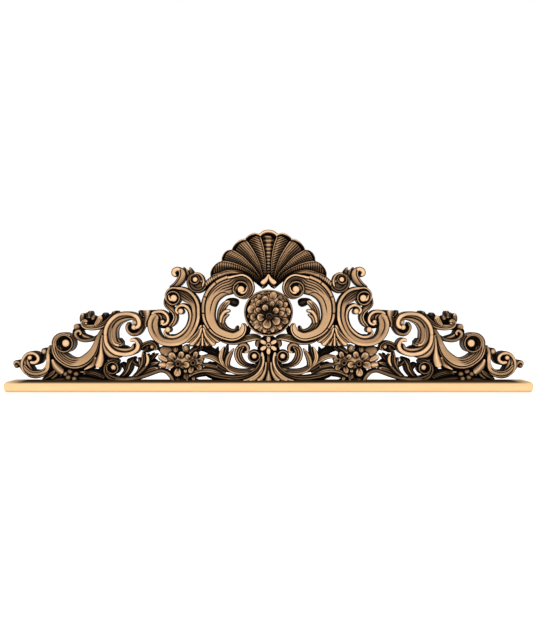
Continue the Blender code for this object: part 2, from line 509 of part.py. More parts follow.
def carving():
    """Join every stroke of the relief, then cut it flat at the back and under the foot."""
    for build in (shell, medallion, great_scrolls, pleat_fan, foot_spray, flowers, arch_stem, third_scroll,
                  crest_leaf, long_scroll, end_spray):
        build()
    parts = bpy.data.collections.new("relief_strokes")
    bpy.context.scene.collection.children.link(parts)
    body = solids[0]
    bpy.context.scene.collection.objects.link(body)
    for solid in solids[1:]:
        parts.objects.link(solid)
    boolean(body, "UNION", parts)
    for low, high in (((-700, BACK, -50), (700, BACK + 40, 500)), ((-700, -60, -50), (700, BACK + 60, FOOT))):
        cutter = box("cutter", low, high)
        bpy.context.scene.collection.objects.link(cutter)
        boolean(body, "DIFFERENCE", cutter)
        bpy.data.objects.remove(cutter)
    for solid in solids[1:]:
        bpy.data.objects.remove(solid)
    bpy.data.collections.remove(parts)
    lighten(body)
    body.name = body.data.name = "carved_cresting"
    body.data.materials.clear()
    body.data.materials.append(material("carved limewood", (0.58, 0.40, 0.24), 0.45))
    return body


def rail():
    """Rail with a flat back, top and underside and a bullnose round its front and ends."""
    bm = bmesh.new()
    steps, corner = 8, 4
    rings = []
    for k in range(steps + 1):
        angle = math.pi * (k / steps - 0.5)
        inset = RAIL_NOSE * (1 - math.cos(angle))
        z = RAIL_HEIGHT / 2 * (1 + math.sin(angle))
        ring = [(RAIL_LENGTH / 2 - inset, BACK)]
        for side in (1, -1):
            for i in range(corner + 1):
                a = math.radians(90 * i / corner)
                c, s = (math.cos(a), math.sin(a)) if side == 1 else (math.sin(a), math.cos(a))
                ring.append((side * (RAIL_LENGTH / 2 - RAIL_CORNER + (RAIL_CORNER - inset) * c),
                             -BACK + RAIL_CORNER - (RAIL_CORNER - inset) * s))
        ring.append((-RAIL_LENGTH / 2 + inset, BACK))
        rings.append([bm.verts.new((x * MM, y * MM, z * MM)) for x, y in ring])
    for low, high in zip(rings, rings[1:]):
        for i in range(len(low)):
            j = (i + 1) % len(low)
            bm.faces.new((low[i], low[j], high[j], high[i]))
    bm.faces.new(rings[0])
    bm.faces.new(rings[-1])
    bmesh.ops.recalc_face_normals(bm, faces=bm.faces[:])
    mesh = bpy.data.meshes.new("base_moulding")
    bm.to_mesh(mesh)
    bm.free()
    mesh.shade_smooth()
    mesh.set_sharp_from_angle(angle=math.radians(35))
    mesh.materials.append(material("waxed limewood", (0.74, 0.52, 0.32), 0.42))
    rail_object = bpy.data.objects.new("base_moulding", mesh)
    bpy.context.scene.collection.objects.link(rail_object)


for old in list(bpy.data.objects):
    bpy.data.objects.remove(old)
rail()
carving()
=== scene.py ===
"""The carved baroque cresting, dressed: fine carving, painted shade in the hollows and painted highlights on
the high spots.
"""
import math

import bmesh
import bpy
import numpy as np
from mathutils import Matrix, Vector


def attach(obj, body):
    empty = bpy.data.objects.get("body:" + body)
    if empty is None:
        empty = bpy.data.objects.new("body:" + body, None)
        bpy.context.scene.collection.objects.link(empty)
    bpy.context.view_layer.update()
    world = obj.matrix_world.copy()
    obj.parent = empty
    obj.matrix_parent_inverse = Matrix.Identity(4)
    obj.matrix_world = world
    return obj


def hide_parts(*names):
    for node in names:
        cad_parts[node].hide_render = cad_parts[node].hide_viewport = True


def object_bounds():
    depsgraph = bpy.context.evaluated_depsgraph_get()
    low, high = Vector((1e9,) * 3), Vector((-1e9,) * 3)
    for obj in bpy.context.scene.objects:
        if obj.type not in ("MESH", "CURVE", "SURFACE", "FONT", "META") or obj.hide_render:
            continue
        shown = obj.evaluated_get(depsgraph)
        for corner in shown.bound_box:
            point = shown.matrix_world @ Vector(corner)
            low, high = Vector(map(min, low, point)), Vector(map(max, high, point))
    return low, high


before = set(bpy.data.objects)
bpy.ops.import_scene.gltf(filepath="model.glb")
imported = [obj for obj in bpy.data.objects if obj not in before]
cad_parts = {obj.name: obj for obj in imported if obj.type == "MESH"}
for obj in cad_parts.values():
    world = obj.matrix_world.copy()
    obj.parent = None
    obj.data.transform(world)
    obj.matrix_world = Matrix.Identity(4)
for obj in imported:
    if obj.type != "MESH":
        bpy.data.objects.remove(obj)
cad_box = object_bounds()

# Sizes in millimetres: the board and its rail
MM = 0.001
BACK = 30.0
RAIL_LENGTH, RAIL_HEIGHT, RAIL_NOSE, RAIL_CORNER = 1200.0, 24.0, 7.5, 10.0
RAIL_FACETS, CORNER_FACETS = 48, 10
TOP_LIMIT = cad_box[1][2] / MM - 0.1

# The plane on which the photograph was measured, and the camera's distance from it and height
FRONT_PLANE, SIGHT_DISTANCE, SIGHT_HEIGHT = 40.0, 1479.0, 184.2

# Fineness of the carving, and its rounded edges and ends
ALONG, ACROSS = 1.5, 0.8
MIN_COLUMNS, MAX_COLUMNS = 9, 54
EDGE_ROUND, END_ROUND = 1.8, 6.0
SHARP_ANGLE = 42

# How low a carved face may lie, the upright step at a form's edge, and how far each form's back lies in
# front of the last one's, so that no two backs share a plane
LOWEST = 2.0
WALL_STEP, CAP_STEP = 4.0, 1.5
BACK_STAGGER = 0.003

# The channel and the slope beside a scroll's bead, and how grooves are cut
CHANNEL_IN, CHANNEL_DEPTH, SLOPE_WIDE, SLOPE_DEPTH = 10.4, 2.6, 4.2, 4.6
GROOVE_WIDEN, GROOVE_DEEPEN, GROOVE_FADE = 1.35, 1.3, 0.07
LEAF_VEINS = ((0.0, 0.8, 1.5, 0, 0.85), (-0.5, 0.7, 0.9, 0.1, 0.75), (0.5, 0.7, 0.9, 0.1, 0.75))

# The height map, of one cell to a millimetre
MAP_LEFT, MAP_LOW, MAP_WIDE, MAP_TALL = -600.0, 20.0, 1200, 356

# How dark the painted shade lies, from 0 on the palest wood to 1: on walls (top, foot), along edges
# and in cuts, on open faces, on leaning ones and on deep ones, and in hollows as (radius of the hollow,
# weight, least, most)
WALL_PAINTED_SHADE = (0.84, 0.9)
EDGE_PAINTED_SHADE, GROOVE_PAINTED_SHADE, NOTCH_PAINTED_SHADE = 0.45, 0.42, 0.5
OPEN_LEVEL, LEAN_PAINTED_SHADE, LEAN_FROM = 0.34, 1.3, 0.06
DEPTH_PAINTED_SHADE, DEPTH_FROM = 0.014, 32
HOLLOWS = ((1.6, 0.2, -1.2, 4), (5.0, 0.06, -3, 12), (13.0, 0.028, -5, 18))

# Colours out of 255, by how dark the painted shade is and by the grain, and the rail's painted shadow on
# top, where the carving stands, and painted shade at its foot; heights and places are in metres
PAINTED_SHADE_COLOURS = ((0.0, (236, 192, 146)), (0.2, (196, 155, 113)), (0.46, (125, 94, 64)), (0.75, (58, 41, 26)),
                 (1.0, (13, 8, 5)))
WAX_COLOURS = ((0.25, (240, 196, 142)), (0.75, (247, 205, 150)))
TOP_SHADOW_COLOUR, TOP_SHADOW_SHARE, TOP_SHADOW_HEIGHTS, SHADOW_END_PLACES = (24, 15, 9), 0.95, (0.0195, 0.0232), (0.596, 0.56)
FOOT_SHADE_COLOUR, FOOT_SHADE_SHARE, FOOT_SHADE_HEIGHTS = (140, 96, 52), 0.62, (0.0065, 0.0005)
GRAIN_STRETCH, GRAIN_SHOWS = (0.12, 1.0, 1.0), 0.12

# The studio, in metres and watts
LIGHT_PLACE, LIGHT_AIM, LIGHT_SIZE, LIGHT_POWER = (-0.2, -1.5, 2.3), (0, 0, 0.15), (2.4, 0.9), 34
FLOOR_SIZE, FLOOR_WHITE, FLOOR_GLOW, SURROUND_LIGHT = 14, 0.95, 0.5, 0.62
CAMERA_LENS, CAMERA_SENSOR = 37.5, 36

# What is being carved: its piece, all forms by piece, and how many there are
WHOLE = ("carved_shell",)
current = {"piece": "carved_shell"}
pieces = {}
tally = [0]


def seat(x, z, height):
    """Where a point measured on the front plane lies in the panel: what lies deeper spreads outwards."""
    grow = 1 + (FRONT_PLANE - height) / SIGHT_DISTANCE
    return x * grow, SIGHT_HEIGHT + (z - SIGHT_HEIGHT) * grow


def ease(t):
    """Smooth step from 0 to 1."""
    t = np.clip(t, 0.0, 1.0)
    return t * t * (3 - 2 * t)


def spline(stations, step=ALONG):
    """Smooth curve through the stations at an even spacing, every column blended alike."""
    rows = np.array(stations, float)
    padded = np.vstack([rows[0], rows, rows[-1]])
    parts = []
    t = np.linspace(0, 1, 24, endpoint=False)[:, None]
    for i in range(len(rows) - 1):
        p, q, r, s = padded[i:i + 4]
        parts.append(0.5 * (2 * q + (r - p) * t + (2 * p - 5 * q + 4 * r - s) * t ** 2
                            + (3 * q - p - 3 * r + s) * t ** 3))
    dense = np.vstack(parts + [rows[-1:]])
    travel = np.concatenate([[0], np.cumsum(np.hypot(*np.diff(dense[:, :2], axis=0).T))])
    count = max(6, int(travel[-1] / step) + 1)
    at = np.linspace(0, travel[-1], count)
    return np.stack([np.interp(at, travel, dense[:, k]) for k in range(dense.shape[1])], axis=1), at


def headings(line):
    """Unit vectors along a line."""
    d = np.gradient(line[:, :2], axis=0)
    return d / np.maximum(np.linalg.norm(d, axis=1, keepdims=True), 1e-9)


def section(kind, s):
    """Drop below the crest in half-widths across a stroke, from its outer edge at -1 to its inner at 1."""
    a = np.abs(s)
    if kind == "bead":
        return 0.8 * (1 - np.sqrt(np.clip(1 - a ** 2.1, 0, 1)))
    if kind == "leaf":
        return 0.5 * a ** 1.25
    if kind == "strap":
        shoulder = 0.42 * ((s + 0.5) / 0.5) ** 2
        return np.where(s < -0.5, shoulder, 0.34 * (np.clip(s + 0.5, 0, 2) / 1.5) ** 1.4)
    if kind == "scroll":
        return 0.12 + 0.13 * a ** 3
    return 0.12 * a ** 4


def fade(u, start, end):
    """1 between two shares of a stroke's length, and 0 beyond them."""
    rise = ease((u - start) / GROOVE_FADE + 0.5) if start > 0 else 1.0
    return rise * (1 - ease((u - end) / GROOVE_FADE + 0.5)) if end < 1 else rise


def flutes(count, start, end, depth):
    """Evenly spread grooves between two places across a stroke."""
    return tuple((start + (end - start) * i / (count - 1), 0.9, depth, 0, 1) for i in range(count))


def vein(place, depth, start=0, end=1):
    """One groove of the usual width."""
    return ((place, 0.8, depth, start, end),)


def stroke(kind, height, stations, flip=False, mirrored=True, grooves=(), notch=None, twist=None,
           ends=(True, True), shade_shift=0.0, shade=(), gap=0.6, bead=((0, 1), (1, 1)), rim=(), side=WALL_PAINTED_SHADE):
    """Sweep a carved section along stations (x, z, half-width, and its own height where one is given).

    A groove is (place, width, depth, from, to). A place under 1 is a share of the half-width, and 2 or
    more is millimetres in from the outer edge, or from the inner edge when negative. A place that changes
    is a row of (share of the length, millimetres from the inner edge). A notch is (pitch, depth, reach,
    from, to), and a twist is (pitch, depth, lean, from, to). Bead, shade and rim are rows of (share of the
    length, amount) for a scroll: the depth of its channel, and extra painted shade inside and outside of
    it. Side is the painted shade of the walls. A shade shift is painted shade laid over the whole form, or
    taken off it where negative; a low floor with a large one stands for the shade between the forms above
    it.
    """
    lo, hi = height if isinstance(height, tuple) else (height, height)
    last = len(stations) - 1
    rows = []
    for i, (x, z, w, *given) in enumerate(stations):
        h = given[0] if given else lo + (hi - lo) * i / last
        rows.append((*seat(x, z, h), w, h))
    line, travel = spline(rows)
    way = headings(line)
    length = travel[-1]
    w = line[:, 2].copy()
    for at, on in ((travel, ends[0]), (length - travel, ends[1])):
        if on:
            blunt = np.minimum(w, END_ROUND)
            inside = np.clip((blunt - at) / blunt, 0, 1)
            w = w * np.sqrt(np.clip(1 - inside ** 2, 0.06, 1))
    bend = np.gradient(np.unwrap(np.arctan2(way[:, 1], way[:, 0])), travel)
    count = int(np.clip(2 * line[:, 2].max() / ACROSS, MIN_COLUMNS, MAX_COLUMNS))
    t = np.linspace(-1, 1, count)
    s = 0.72 * t + 0.28 * np.sin(math.pi / 2 * t)
    u = (travel / length)[:, None]
    half = w[:, None]
    d_out = (s[None, :] + 1) * half
    d_in = (1 - s[None, :]) * half
    drop = section(kind, s)[None, :] * np.minimum(half, 30)
    if kind == "scroll":
        gap = np.minimum(CHANNEL_IN, gap * half)
        channel = np.exp(-((d_out - gap) / (0.15 * gap)) ** 2) * np.interp(u, *zip(*bead))
        slope = np.clip(1 - d_out / np.minimum(SLOPE_WIDE, 0.3 * half), 0, 1)
        drop = drop + CHANNEL_DEPTH * channel + SLOPE_DEPTH * slope ** 2
    near = np.minimum(d_out, d_in)
    for at, on in ((travel, ends[0]), (length - travel, ends[1])):
        if on:
            near = np.minimum(near, at[:, None] + 0.2)
    lip = np.minimum(EDGE_ROUND, half * 0.6)
    drop = drop + lip * (1 - np.sqrt(np.clip(1 - np.clip(1 - near / lip, 0, 1) ** 2, 0, 1)))
    # Painted shade along the form's edges
    tint = np.zeros_like(drop) + shade_shift + EDGE_PAINTED_SHADE * np.exp(-(near / np.minimum(1.9, 0.34 * half)) ** 2)
    # A painted highlight along a leaf's crest
    if kind == "leaf":
        tint = tint - 0.12 * np.exp(-(s / 0.4) ** 2)
    # Grooves are cut and darkened with painted shade
    for place, wide, depth, u0, u1 in grooves:
        if isinstance(place, tuple):
            place = np.interp(u, [p[0] for p in place], [p[1] for p in place])
            where = 2 * half + place
        else:
            where = place if place >= 2 else 2 * half + place if place <= -2 else half * (1 + place)
        narrow = np.clip(half / 5, 0.4, 1)
        cut = narrow * np.exp(-((d_out - where) / (GROOVE_WIDEN * wide)) ** 2) * fade(u, u0, u1)
        drop = drop + GROOVE_DEEPEN * depth * cut
        tint = tint + GROOVE_PAINTED_SHADE * cut
    # Painted shade in a scroll's channel and on the slope beside its bead
    if kind == "scroll":
        tint = tint + 0.5 * channel + 0.4 * slope
    # Extra painted shade outside the channel by rim, and inside it by shade
    if rim:
        tint = tint + np.interp(u, *zip(*rim)) * (d_out < gap)
    if shade:
        tint = tint + np.interp(u, *zip(*shade)) * (d_out > gap)
    # Notches and twists are cut and darkened with painted shade
    if notch:
        pitch, depth, reach, u0, u1 = notch
        phase = np.abs((travel / pitch) % 1 - 0.5)[:, None] * pitch
        cut = np.exp(-(phase / 1.0) ** 2) * (d_out < reach) * fade(u, u0, u1)
        drop = drop + depth * cut
        tint = tint + NOTCH_PAINTED_SHADE * cut
    if twist:
        pitch, depth, lean, u0, u1 = twist
        wave = np.abs(np.sin(math.pi * (travel[:, None] / pitch + lean * s[None, :])))
        cut = (1 - wave ** 0.7) * fade(u, u0, u1)
        drop = drop + depth * cut
        tint = tint + NOTCH_PAINTED_SHADE * cut
    reach = s[None, :] * half * (-1 if flip else 1)
    # The inside of a tight bend never runs past its own centre
    limit = 0.93 / np.maximum(np.abs(bend), 1e-4)[:, None]
    turning = np.sign(bend)[:, None]
    reach = np.where(reach * turning > limit, limit * turning, reach)
    x = line[:, 0:1] - way[:, 1:2] * reach
    z = line[:, 1:2] + way[:, 0:1] * reach
    h = np.maximum(line[:, 3:4] - drop, LOWEST)
    add_sheet(np.stack([x, z, h], axis=2), mirrored, tint, side)


def keep(grid, ring, faces, wall, shade_shift, mirrored):
    """Store one closed form with the piece that is being carved, and its twin on the left if mirrored."""
    base = current["piece"]
    if mirrored:
        names = ((base, 1), (base, -1)) if base in WHOLE else ((base + "_right", 1), (base + "_left", -1))
    else:
        names = ((base, 1),)
    for name, side in names:
        empty = {"points": [], "faces": [], "wall": [], "shade_shift": [], "tops": [], "count": 0}
        store = pieces.setdefault(name, empty)
        store["points"].append(ring.reshape(-1, 3) * (side, 1, 1))
        store["wall"].append(wall.reshape(-1))
        store["shade_shift"].append(shade_shift.reshape(-1))
        store["faces"].append(faces + store["count"])
        store["tops"].append(grid * (side, 1, 1))
        store["count"] += ring.shape[0] * ring.shape[1]
    tally[0] += 1


def weave(rows, cols, closed):
    """Quads of a grid whose columns close on themselves, and also its rows if closed is set."""
    index = np.arange(rows * cols).reshape(rows, cols)
    nxt = np.roll(index, -1, axis=1)
    if closed:
        below, below_nxt = np.roll(index, -1, axis=0), np.roll(nxt, -1, axis=0)
        return np.stack([index, nxt, below_nxt, below], axis=2).reshape(-1, 4)
    return np.stack([index[:-1], nxt[:-1], nxt[1:], index[1:]], axis=2).reshape(-1, 4)


def capped(rows, cols):
    """Quads of a tube whose two ends are each closed by a fan around their middle column."""
    quads = weave(rows, cols, False)
    ends = []
    for row, flip in ((0, False), (rows - 1, True)):
        low, high = row * cols, row * cols + cols - 1
        while high - low >= 3:
            quad = (low, high, high - 1, low + 1)
            ends.append(quad[::-1] if flip else quad)
            low, high = low + 1, high - 1
        if high - low == 2:
            ends.append((high - 1, high, low, low) if flip else (low, high, high - 1, high - 1))
    return np.concatenate([quads, np.array(ends)])


def add_sheet(grid, mirrored, shade_shift, side=WALL_PAINTED_SHADE):
    """Close a grid of (x, z, height) with walls, which get painted shade by side, and a back."""
    grid = grid.copy()
    grid[..., 1] = np.minimum(grid[..., 1], TOP_LIMIT)
    deep = BACK_STAGGER * tally[0]
    rows, cols = grid.shape[:2]
    left, right = grid[:, 0].copy(), grid[:, -1].copy()
    left[:, 2] = np.maximum(left[:, 2] - WALL_STEP, 0.8 + deep)
    right[:, 2] = np.maximum(right[:, 2] - WALL_STEP, 0.8 + deep)
    foot_l, foot_r = left.copy(), right.copy()
    foot_l[:, 2] = foot_r[:, 2] = deep
    ring = np.concatenate([foot_l[:, None], left[:, None], grid, right[:, None], foot_r[:, None]], axis=1)
    # Painted shade on the walls, darker at their foot
    wall = np.zeros((rows + 4, cols + 4))
    wall[:, (1, -2)] = wall[(1, -2), :] = side[0]
    wall[:, (0, -1)] = wall[(0, -1), :] = side[1]
    tint = np.zeros((rows + 4, cols + 4))
    tint[2:-2, 2:-2] = shade_shift
    ends = []
    for row in (ring[0], ring[-1]):
        upper, lower = row.copy(), row.copy()
        upper[:, 2] = np.maximum(upper[:, 2] - WALL_STEP, 0.4 + deep)
        lower[:, 2] = deep
        upper[[0, -1], 2] = deep
        ends.append((lower, upper))
    (low_a, up_a), (low_b, up_b) = ends
    ring = np.concatenate([low_a[None], up_a[None], ring, up_b[None], low_b[None]], axis=0)
    keep(grid, ring, capped(rows + 4, cols + 4), wall, tint, mirrored)


def add_ring(grid, shade_shift):
    """A tube that closes on itself both ways, whole across the middle."""
    grid = grid[:-1, :-1]
    rows, cols = grid.shape[:2]
    keep(grid, grid, weave(rows, cols, True), np.zeros((rows, cols)), shade_shift, False)


def leaf(height, base, tip, bend, width, blunt=False, shade_shift=0.0):
    """A leaf from base to tip that bows sideways by bend; a blunt one keeps a round end."""
    (x0, z0), (x1, z1) = base, tip
    size = math.hypot(x1 - x0, z1 - z0)
    end = ((0.85, 0.85), (1.0, 0.4)) if blunt else ((1.0, 0.2),)
    stations = []
    for t, w in ((0.0, 0.6), (0.45, 1.0)) + end:
        bow = 4 * t * (1 - t) * bend
        stations.append((x0 + (x1 - x0) * t - (z1 - z0) / size * bow,
                         z0 + (z1 - z0) * t + (x1 - x0) / size * bow, width * w))
    stroke("leaf", height, stations, grooves=LEAF_VEINS, shade_shift=shade_shift)


def boss(centre, profile, sides=56, mirrored=True, shade_shift=0.0, pale=None, squat=1.0, bands=(),
         side=WALL_PAINTED_SHADE):
    """Turned lump on the relief's face from (radius, height) rings, outermost first.

    Pale is (radius, width, amount) of a ring given a painted highlight, and bands are (radius, extra
    painted shade). The upper half is flattened by squat.
    """
    x0, z0 = seat(*centre, profile[-1][1])
    rings = np.array(profile, float)
    steps = np.concatenate([[0], np.cumsum(np.hypot(*np.diff(rings, axis=0).T))])
    at = np.unique(np.concatenate([steps, np.linspace(0, steps[-1], max(3, int(steps[-1] / 1.4)))]))
    r, h = np.interp(at, steps, rings[:, 0]), np.interp(at, steps, rings[:, 1])
    a = np.linspace(0, 2 * math.pi, sides + 1)[None, :]
    rise = np.where(np.sin(a) > 0, squat, 1.0)
    r, h = r[:, None], h[:, None]
    grid = np.stack([x0 + r * np.cos(a), z0 + rise * r * np.sin(a), h + 0 * a], axis=2)
    tint = shade_shift + 0 * (r + a)
    if pale:
        where, wide, amount = pale
        tint = tint - amount * np.exp(-((r - where) / wide) ** 2)
    if bands:
        tint = tint + np.interp(r, *zip(*bands))
    add_cap(grid, mirrored, tint[:, :-1], side)


def add_cap(grid, mirrored, shade_shift, side=WALL_PAINTED_SHADE):
    """Close a disc of rings, outermost first, with a wall and a back."""
    grid = grid[:, :-1].copy()
    deep = BACK_STAGGER * tally[0]
    rows, cols = grid.shape[:2]
    wall_top, wall_foot = grid[0].copy(), grid[0].copy()
    wall_top[:, 2] = np.maximum(wall_top[:, 2] - CAP_STEP, 0.8 + deep)
    wall_foot[:, 2] = deep
    stack = np.concatenate([wall_foot[None], wall_top[None], grid], axis=0)
    # Painted shade on the wall, darker at its foot
    wall = np.zeros(stack.shape[:2])
    wall[0], wall[1] = side[1], side[0]
    tint = np.zeros(stack.shape[:2])
    tint[2:] = shade_shift
    keep(grid, stack, capped(rows + 2, cols), wall, tint, mirrored)


def dome(radius, height, rise):
    """Rings of a dome with steep sides: it drops by rise from its crown to its edge."""
    return [(radius * math.cos(a), height - rise * (1 - math.sin(a)))
            for a in (math.radians(d) for d in (0, 10, 22, 36, 50, 64, 78, 87))]


def berry(centre, radius, height, shade_shift=0.0):
    boss(centre, dome(radius, height, radius * 0.8), 36, shade_shift=shade_shift)


def disc(centre, radius, height, shade_shift):
    """Low floor that shows between the forms above it, darkened with painted shade by its shade shift."""
    boss(centre, ((radius, height - 1), (radius - 1, height), (2, height)), shade_shift=shade_shift)


def petal(centre, angle, long, wide, height, mirrored=True, creases=3, cup=0.8, tilt=2.5, shade_shift=0.0):
    """A plump petal that points away from its flower's centre, with creases fanning from its base."""
    a = math.radians(angle)
    x0, z0 = seat(*centre, height)
    rho = np.sin(np.linspace(math.pi / 2, 0.04, 13))[:, None]
    turn = np.linspace(0, 2 * math.pi, 41)[None, :]
    along = rho * np.cos(turn)
    across = rho * np.sin(turn) * (0.86 + 0.14 * np.cos(turn))
    fall = min(0.55 * min(wide, long), 4.2)
    h = height - fall * (1 - np.sqrt(np.clip(1 - rho ** 3.4, 0, 1))) + tilt * 0.5 * (along - 0.4)
    h = h - cup * np.exp(-((along + 0.6) / 0.4) ** 2 - (across / 0.5) ** 2)
    # Painted shade towards the petal's inner end, round its rim and in its creases
    tint = shade_shift + 0.16 * ease((-0.2 - along) / 0.8) + 0.4 * ease((rho - 0.86) / 0.12) + 0 * h
    for i in range(creases):
        line = (i - (creases - 1) / 2) * 0.95 / max(creases - 1, 1) * (along + 1.3) / 1.6
        cut = np.exp(-((across - line) / 0.1) ** 2) * ease((0.95 - along) / 0.7)
        h = h - 0.8 * cut
        tint = tint + 0.24 * cut
    px = x0 + math.cos(a) * long * along - math.sin(a) * wide * across
    pz = z0 + math.sin(a) * long * along + math.cos(a) * wide * across
    add_cap(np.stack([px, pz, h + 0 * px], axis=2), mirrored, tint[:, :-1])


def coil(eye, r_eye, r_start, r_ring, start, hand, quarters, heights):
    """Stations of a coil that eases from r_start in to its ring."""
    stations = []
    for k in range(9):
        t = k / 8
        outer = r_ring + (r_start - r_ring) * 0.5 * (1 + math.cos(math.pi * t))
        inner = max(r_ring - 3.0, r_eye + 1.5)
        a = math.radians(start + hand * t * quarters * 90)
        mid, half = (outer + inner) / 2, max((outer - inner) / 2, 1.5)
        stations.append((eye[0] + mid * math.cos(a), eye[1] + mid * math.sin(a), half,
                         heights[0] + (heights[1] - heights[0]) * float(ease(t * 1.6))))
    return stations


def volute(eye, r_eye, ring, height, tail, hand, sweep):
    """A scroll's heart: thin ridge, deep dark channel, bright eye and, with a sweep, a comma to the eye."""
    # The channel is painted dark with shade, the ridge gets a painted highlight and the eye is painted a
    # little lighter
    boss(eye, ((ring + 2.6, height - 5), (ring + 1.2, height - 1.2), (ring, height),
               (ring - 1.3, height - 1.6), (ring - 2.4, height - 10), (r_eye - 1.5, height - 11)),
         72, shade_shift=0.5, pale=(ring, 1.1, 0.36), side=(0.55, 0.9))
    comma = []
    for k in range(8 if sweep else 0):
        t = k / 7
        a = math.radians(tail + hand * sweep * t)
        r = r_eye * 0.55 + (ring - 2.0 - r_eye * 0.55) * t ** 0.8
        comma.append((eye[0] + r * math.cos(a), eye[1] + r * math.sin(a),
                      0.52 * r_eye * (1 - t) ** 0.8 + 0.9, height + 1.6 - 3.0 * t))
    if comma:
        stroke("bead", height, comma)
    boss(eye, dome(r_eye, height + 2.4, r_eye * 0.6), 48, shade_shift=-0.1)


def blend(curve, count):
    """Evenly spaced points of a smooth curve through (x, z) places."""
    line, travel = spline([p + (1,) for p in curve], 0.5)
    at = np.linspace(0, travel[-1], count)
    return np.stack([np.interp(at, travel, line[:, k]) for k in (0, 1)], axis=1)


def shell():
    """Nine hollow flutes with ribbed floors, sharp ridges between them and a rolled lip at each end.

    Ridges and arcs are (x, z) places on the right half, from the middle outwards: the lower side of each
    flute from its root, and its outer end. Rolls are the lip's width at both sides and the groove under it.
    """
    current["piece"] = "carved_shell"
    ridges = (((5.2, 246), (5.6, 262), (6.4, 285), (8, 308), (11.5, 330), (16, 346), (21.5, 361)),
              ((11, 246), (13, 262), (15.5, 275), (20, 292), (26, 307), (33, 320), (41, 333), (53, 350)),
              ((14, 246), (18, 258), (24.5, 272), (35, 285), (47, 298), (58, 309), (70, 317), (83, 325)),
              ((16, 243), (21, 256), (31, 268), (45, 279), (60, 287), (75, 293), (90, 297), (106, 299)),
              ((14, 236), (22, 243), (33, 252), (45, 260), (60, 267), (80, 272), (105, 272), (120, 268),
              (131, 262)))
    arcs = (
        ((-21.5, 361), (-12, 368), (0, 370.5), (12, 368), (21.5, 361)),
        ((21.5, 361), (31, 363.5), (41, 360.5), (49, 355), (53, 350)),
        ((53, 350), (62, 348.5), (71, 342.5), (79, 333.5), (83, 325)),
        ((83, 325), (92, 323.5), (100, 317.5), (105, 308), (106, 299)),
        ((106, 299), (117, 293.5), (126, 284), (131, 273), (131, 262)),
    )
    rolls = ((7.6, 7.6, 4.5), (5.4, 2.2, 3.6), (5.2, 1.4, 2.4), (2.2, 0.9, 1.4), (1.2, 0.8, 1.2))
    across, lip, lip_rise, highest = 37, 34.6, 6.2, 41.0
    share = (0.5 + 0.5 * np.sin(np.linspace(-math.pi / 2, math.pi / 2, across)) * 0.35
             + 0.65 * (np.linspace(0, 1, across) - 0.5))[None, :]
    share = (share - share[0, 0]) / (share[0, -1] - share[0, 0])
    s = 2 * share - 1
    spread = np.array((1.016, 1.0))
    for index in range(5):
        rows = 170 if index == 4 else 150
        low = blend(ridges[index], rows) * spread
        high = low * (-1, 1) if index == 0 else blend(ridges[index - 1], rows) * spread
        arc = blend(arcs[index], across) * spread
        u = np.linspace(0, 1, rows)[:, None]
        x = high[:, 0:1] * (1 - share) + low[:, 0:1] * share
        z = high[:, 1:2] * (1 - share) + low[:, 1:2] * share
        x = x + (arc[None, :, 0] - x[-1:]) * u ** 4
        z = z + (arc[None, :, 1] - z[-1:]) * u ** 4
        step = np.hypot(np.diff(x, axis=0), np.diff(z, axis=0))
        travel = np.concatenate([np.zeros((1, across)), np.cumsum(step, axis=0)])
        rest = travel[-1:] - travel
        width = np.hypot(x[:, -1:] - x[:, :1], z[:, -1:] - z[:, :1])
        base = np.interp(u, (0, 0.25, 0.5, 0.75, 1), (13, 18, 24, 29, 33)) + index * 0.2
        if index == 0:
            hollow = 1 - np.abs(s) ** 6 - 0.55 * np.exp(-(s / 0.6) ** 4)
            rib = np.cos(2 * math.pi * travel / (5.0 + 2.6 * u))
        else:
            hollow = (0.3 + 0.7 * ease((s + 0.6) / 1.2)) * ease((s + 1.02) / 0.3) * ease((1.02 - s) / 0.2)
            rib = (None, np.cos(2 * math.pi * (z - 0.42 * x) / 5.2),
                   0.75 * np.cos(2 * math.pi * share * 6) + 0.35 * np.cos(2 * math.pi * (z - 0.9 * x) / 6),
                   0.5 * np.cos(2 * math.pi * travel / 5) + 0.6 * np.cos(2 * math.pi * share * 6),
                   np.cos(2 * math.pi * (travel + 9 * share) / 5.2))[index]
        mid = ease((0.93 - np.abs(s)) / 0.25) * ease(u / 0.15)
        near, far, gap = rolls[index]
        roll = near + (far - near) * share
        gap = gap * (0.35 + 1.1 * share ** 1.5)
        shade = ease((rest - roll) / 1.2) * (1 - ease((rest - roll - gap) / (1.5 + 2.5 * share)))
        y = base - hollow * np.minimum(0.3 * width, 8.5) + 0.62 * rib * mid * (1 - shade)
        y = y + 1.5 * np.exp(-((1 - np.abs(s)) * width / 2 / 1.1) ** 2)
        curve = np.sqrt(np.clip(1 - (2 * rest / roll - 1) ** 2, 0, 1))
        y = np.where(rest < roll, np.maximum(y, lip + lip_rise * curve * np.clip(roll / 5, 0.35, 1)),
                     y - 4.5 * shade)
        # Painted shade in the groove under the lip, painted highlights on the rib crests with painted shade
        # between them, and on the ridges between flutes; the lips of the outer flutes are painted darker
        # towards their lower side
        tint = (0.02 - 0.15 * rib) * mid * (rest > roll) + 0.6 * shade
        if index > 1:
            tint = tint + 0.45 * ease((share - 0.2 + 0.25 * (index - 2)) / 0.5) * (rest < roll)
        tint = tint - 0.16 * np.exp(-((1 - np.abs(s)) * width / 2 / 1.3) ** 2)
        add_sheet(np.stack([x, z, np.minimum(y, highest) - 0.2 * index], axis=2), index > 0, tint)
    # Small leaves at the root of the flutes
    stroke("leaf", (34, 33), [(0.6, 268, 1.2), (2.5, 261, 3.6), (7, 254, 5.4), (12.5, 250, 6.5),
           (18, 250, 4)], shade_shift=0.02)
    stroke("leaf", (25, 26), [(1, 253, 3), (6, 248, 6), (11, 242, 5.5), (15, 236, 2)], shade_shift=0.22)


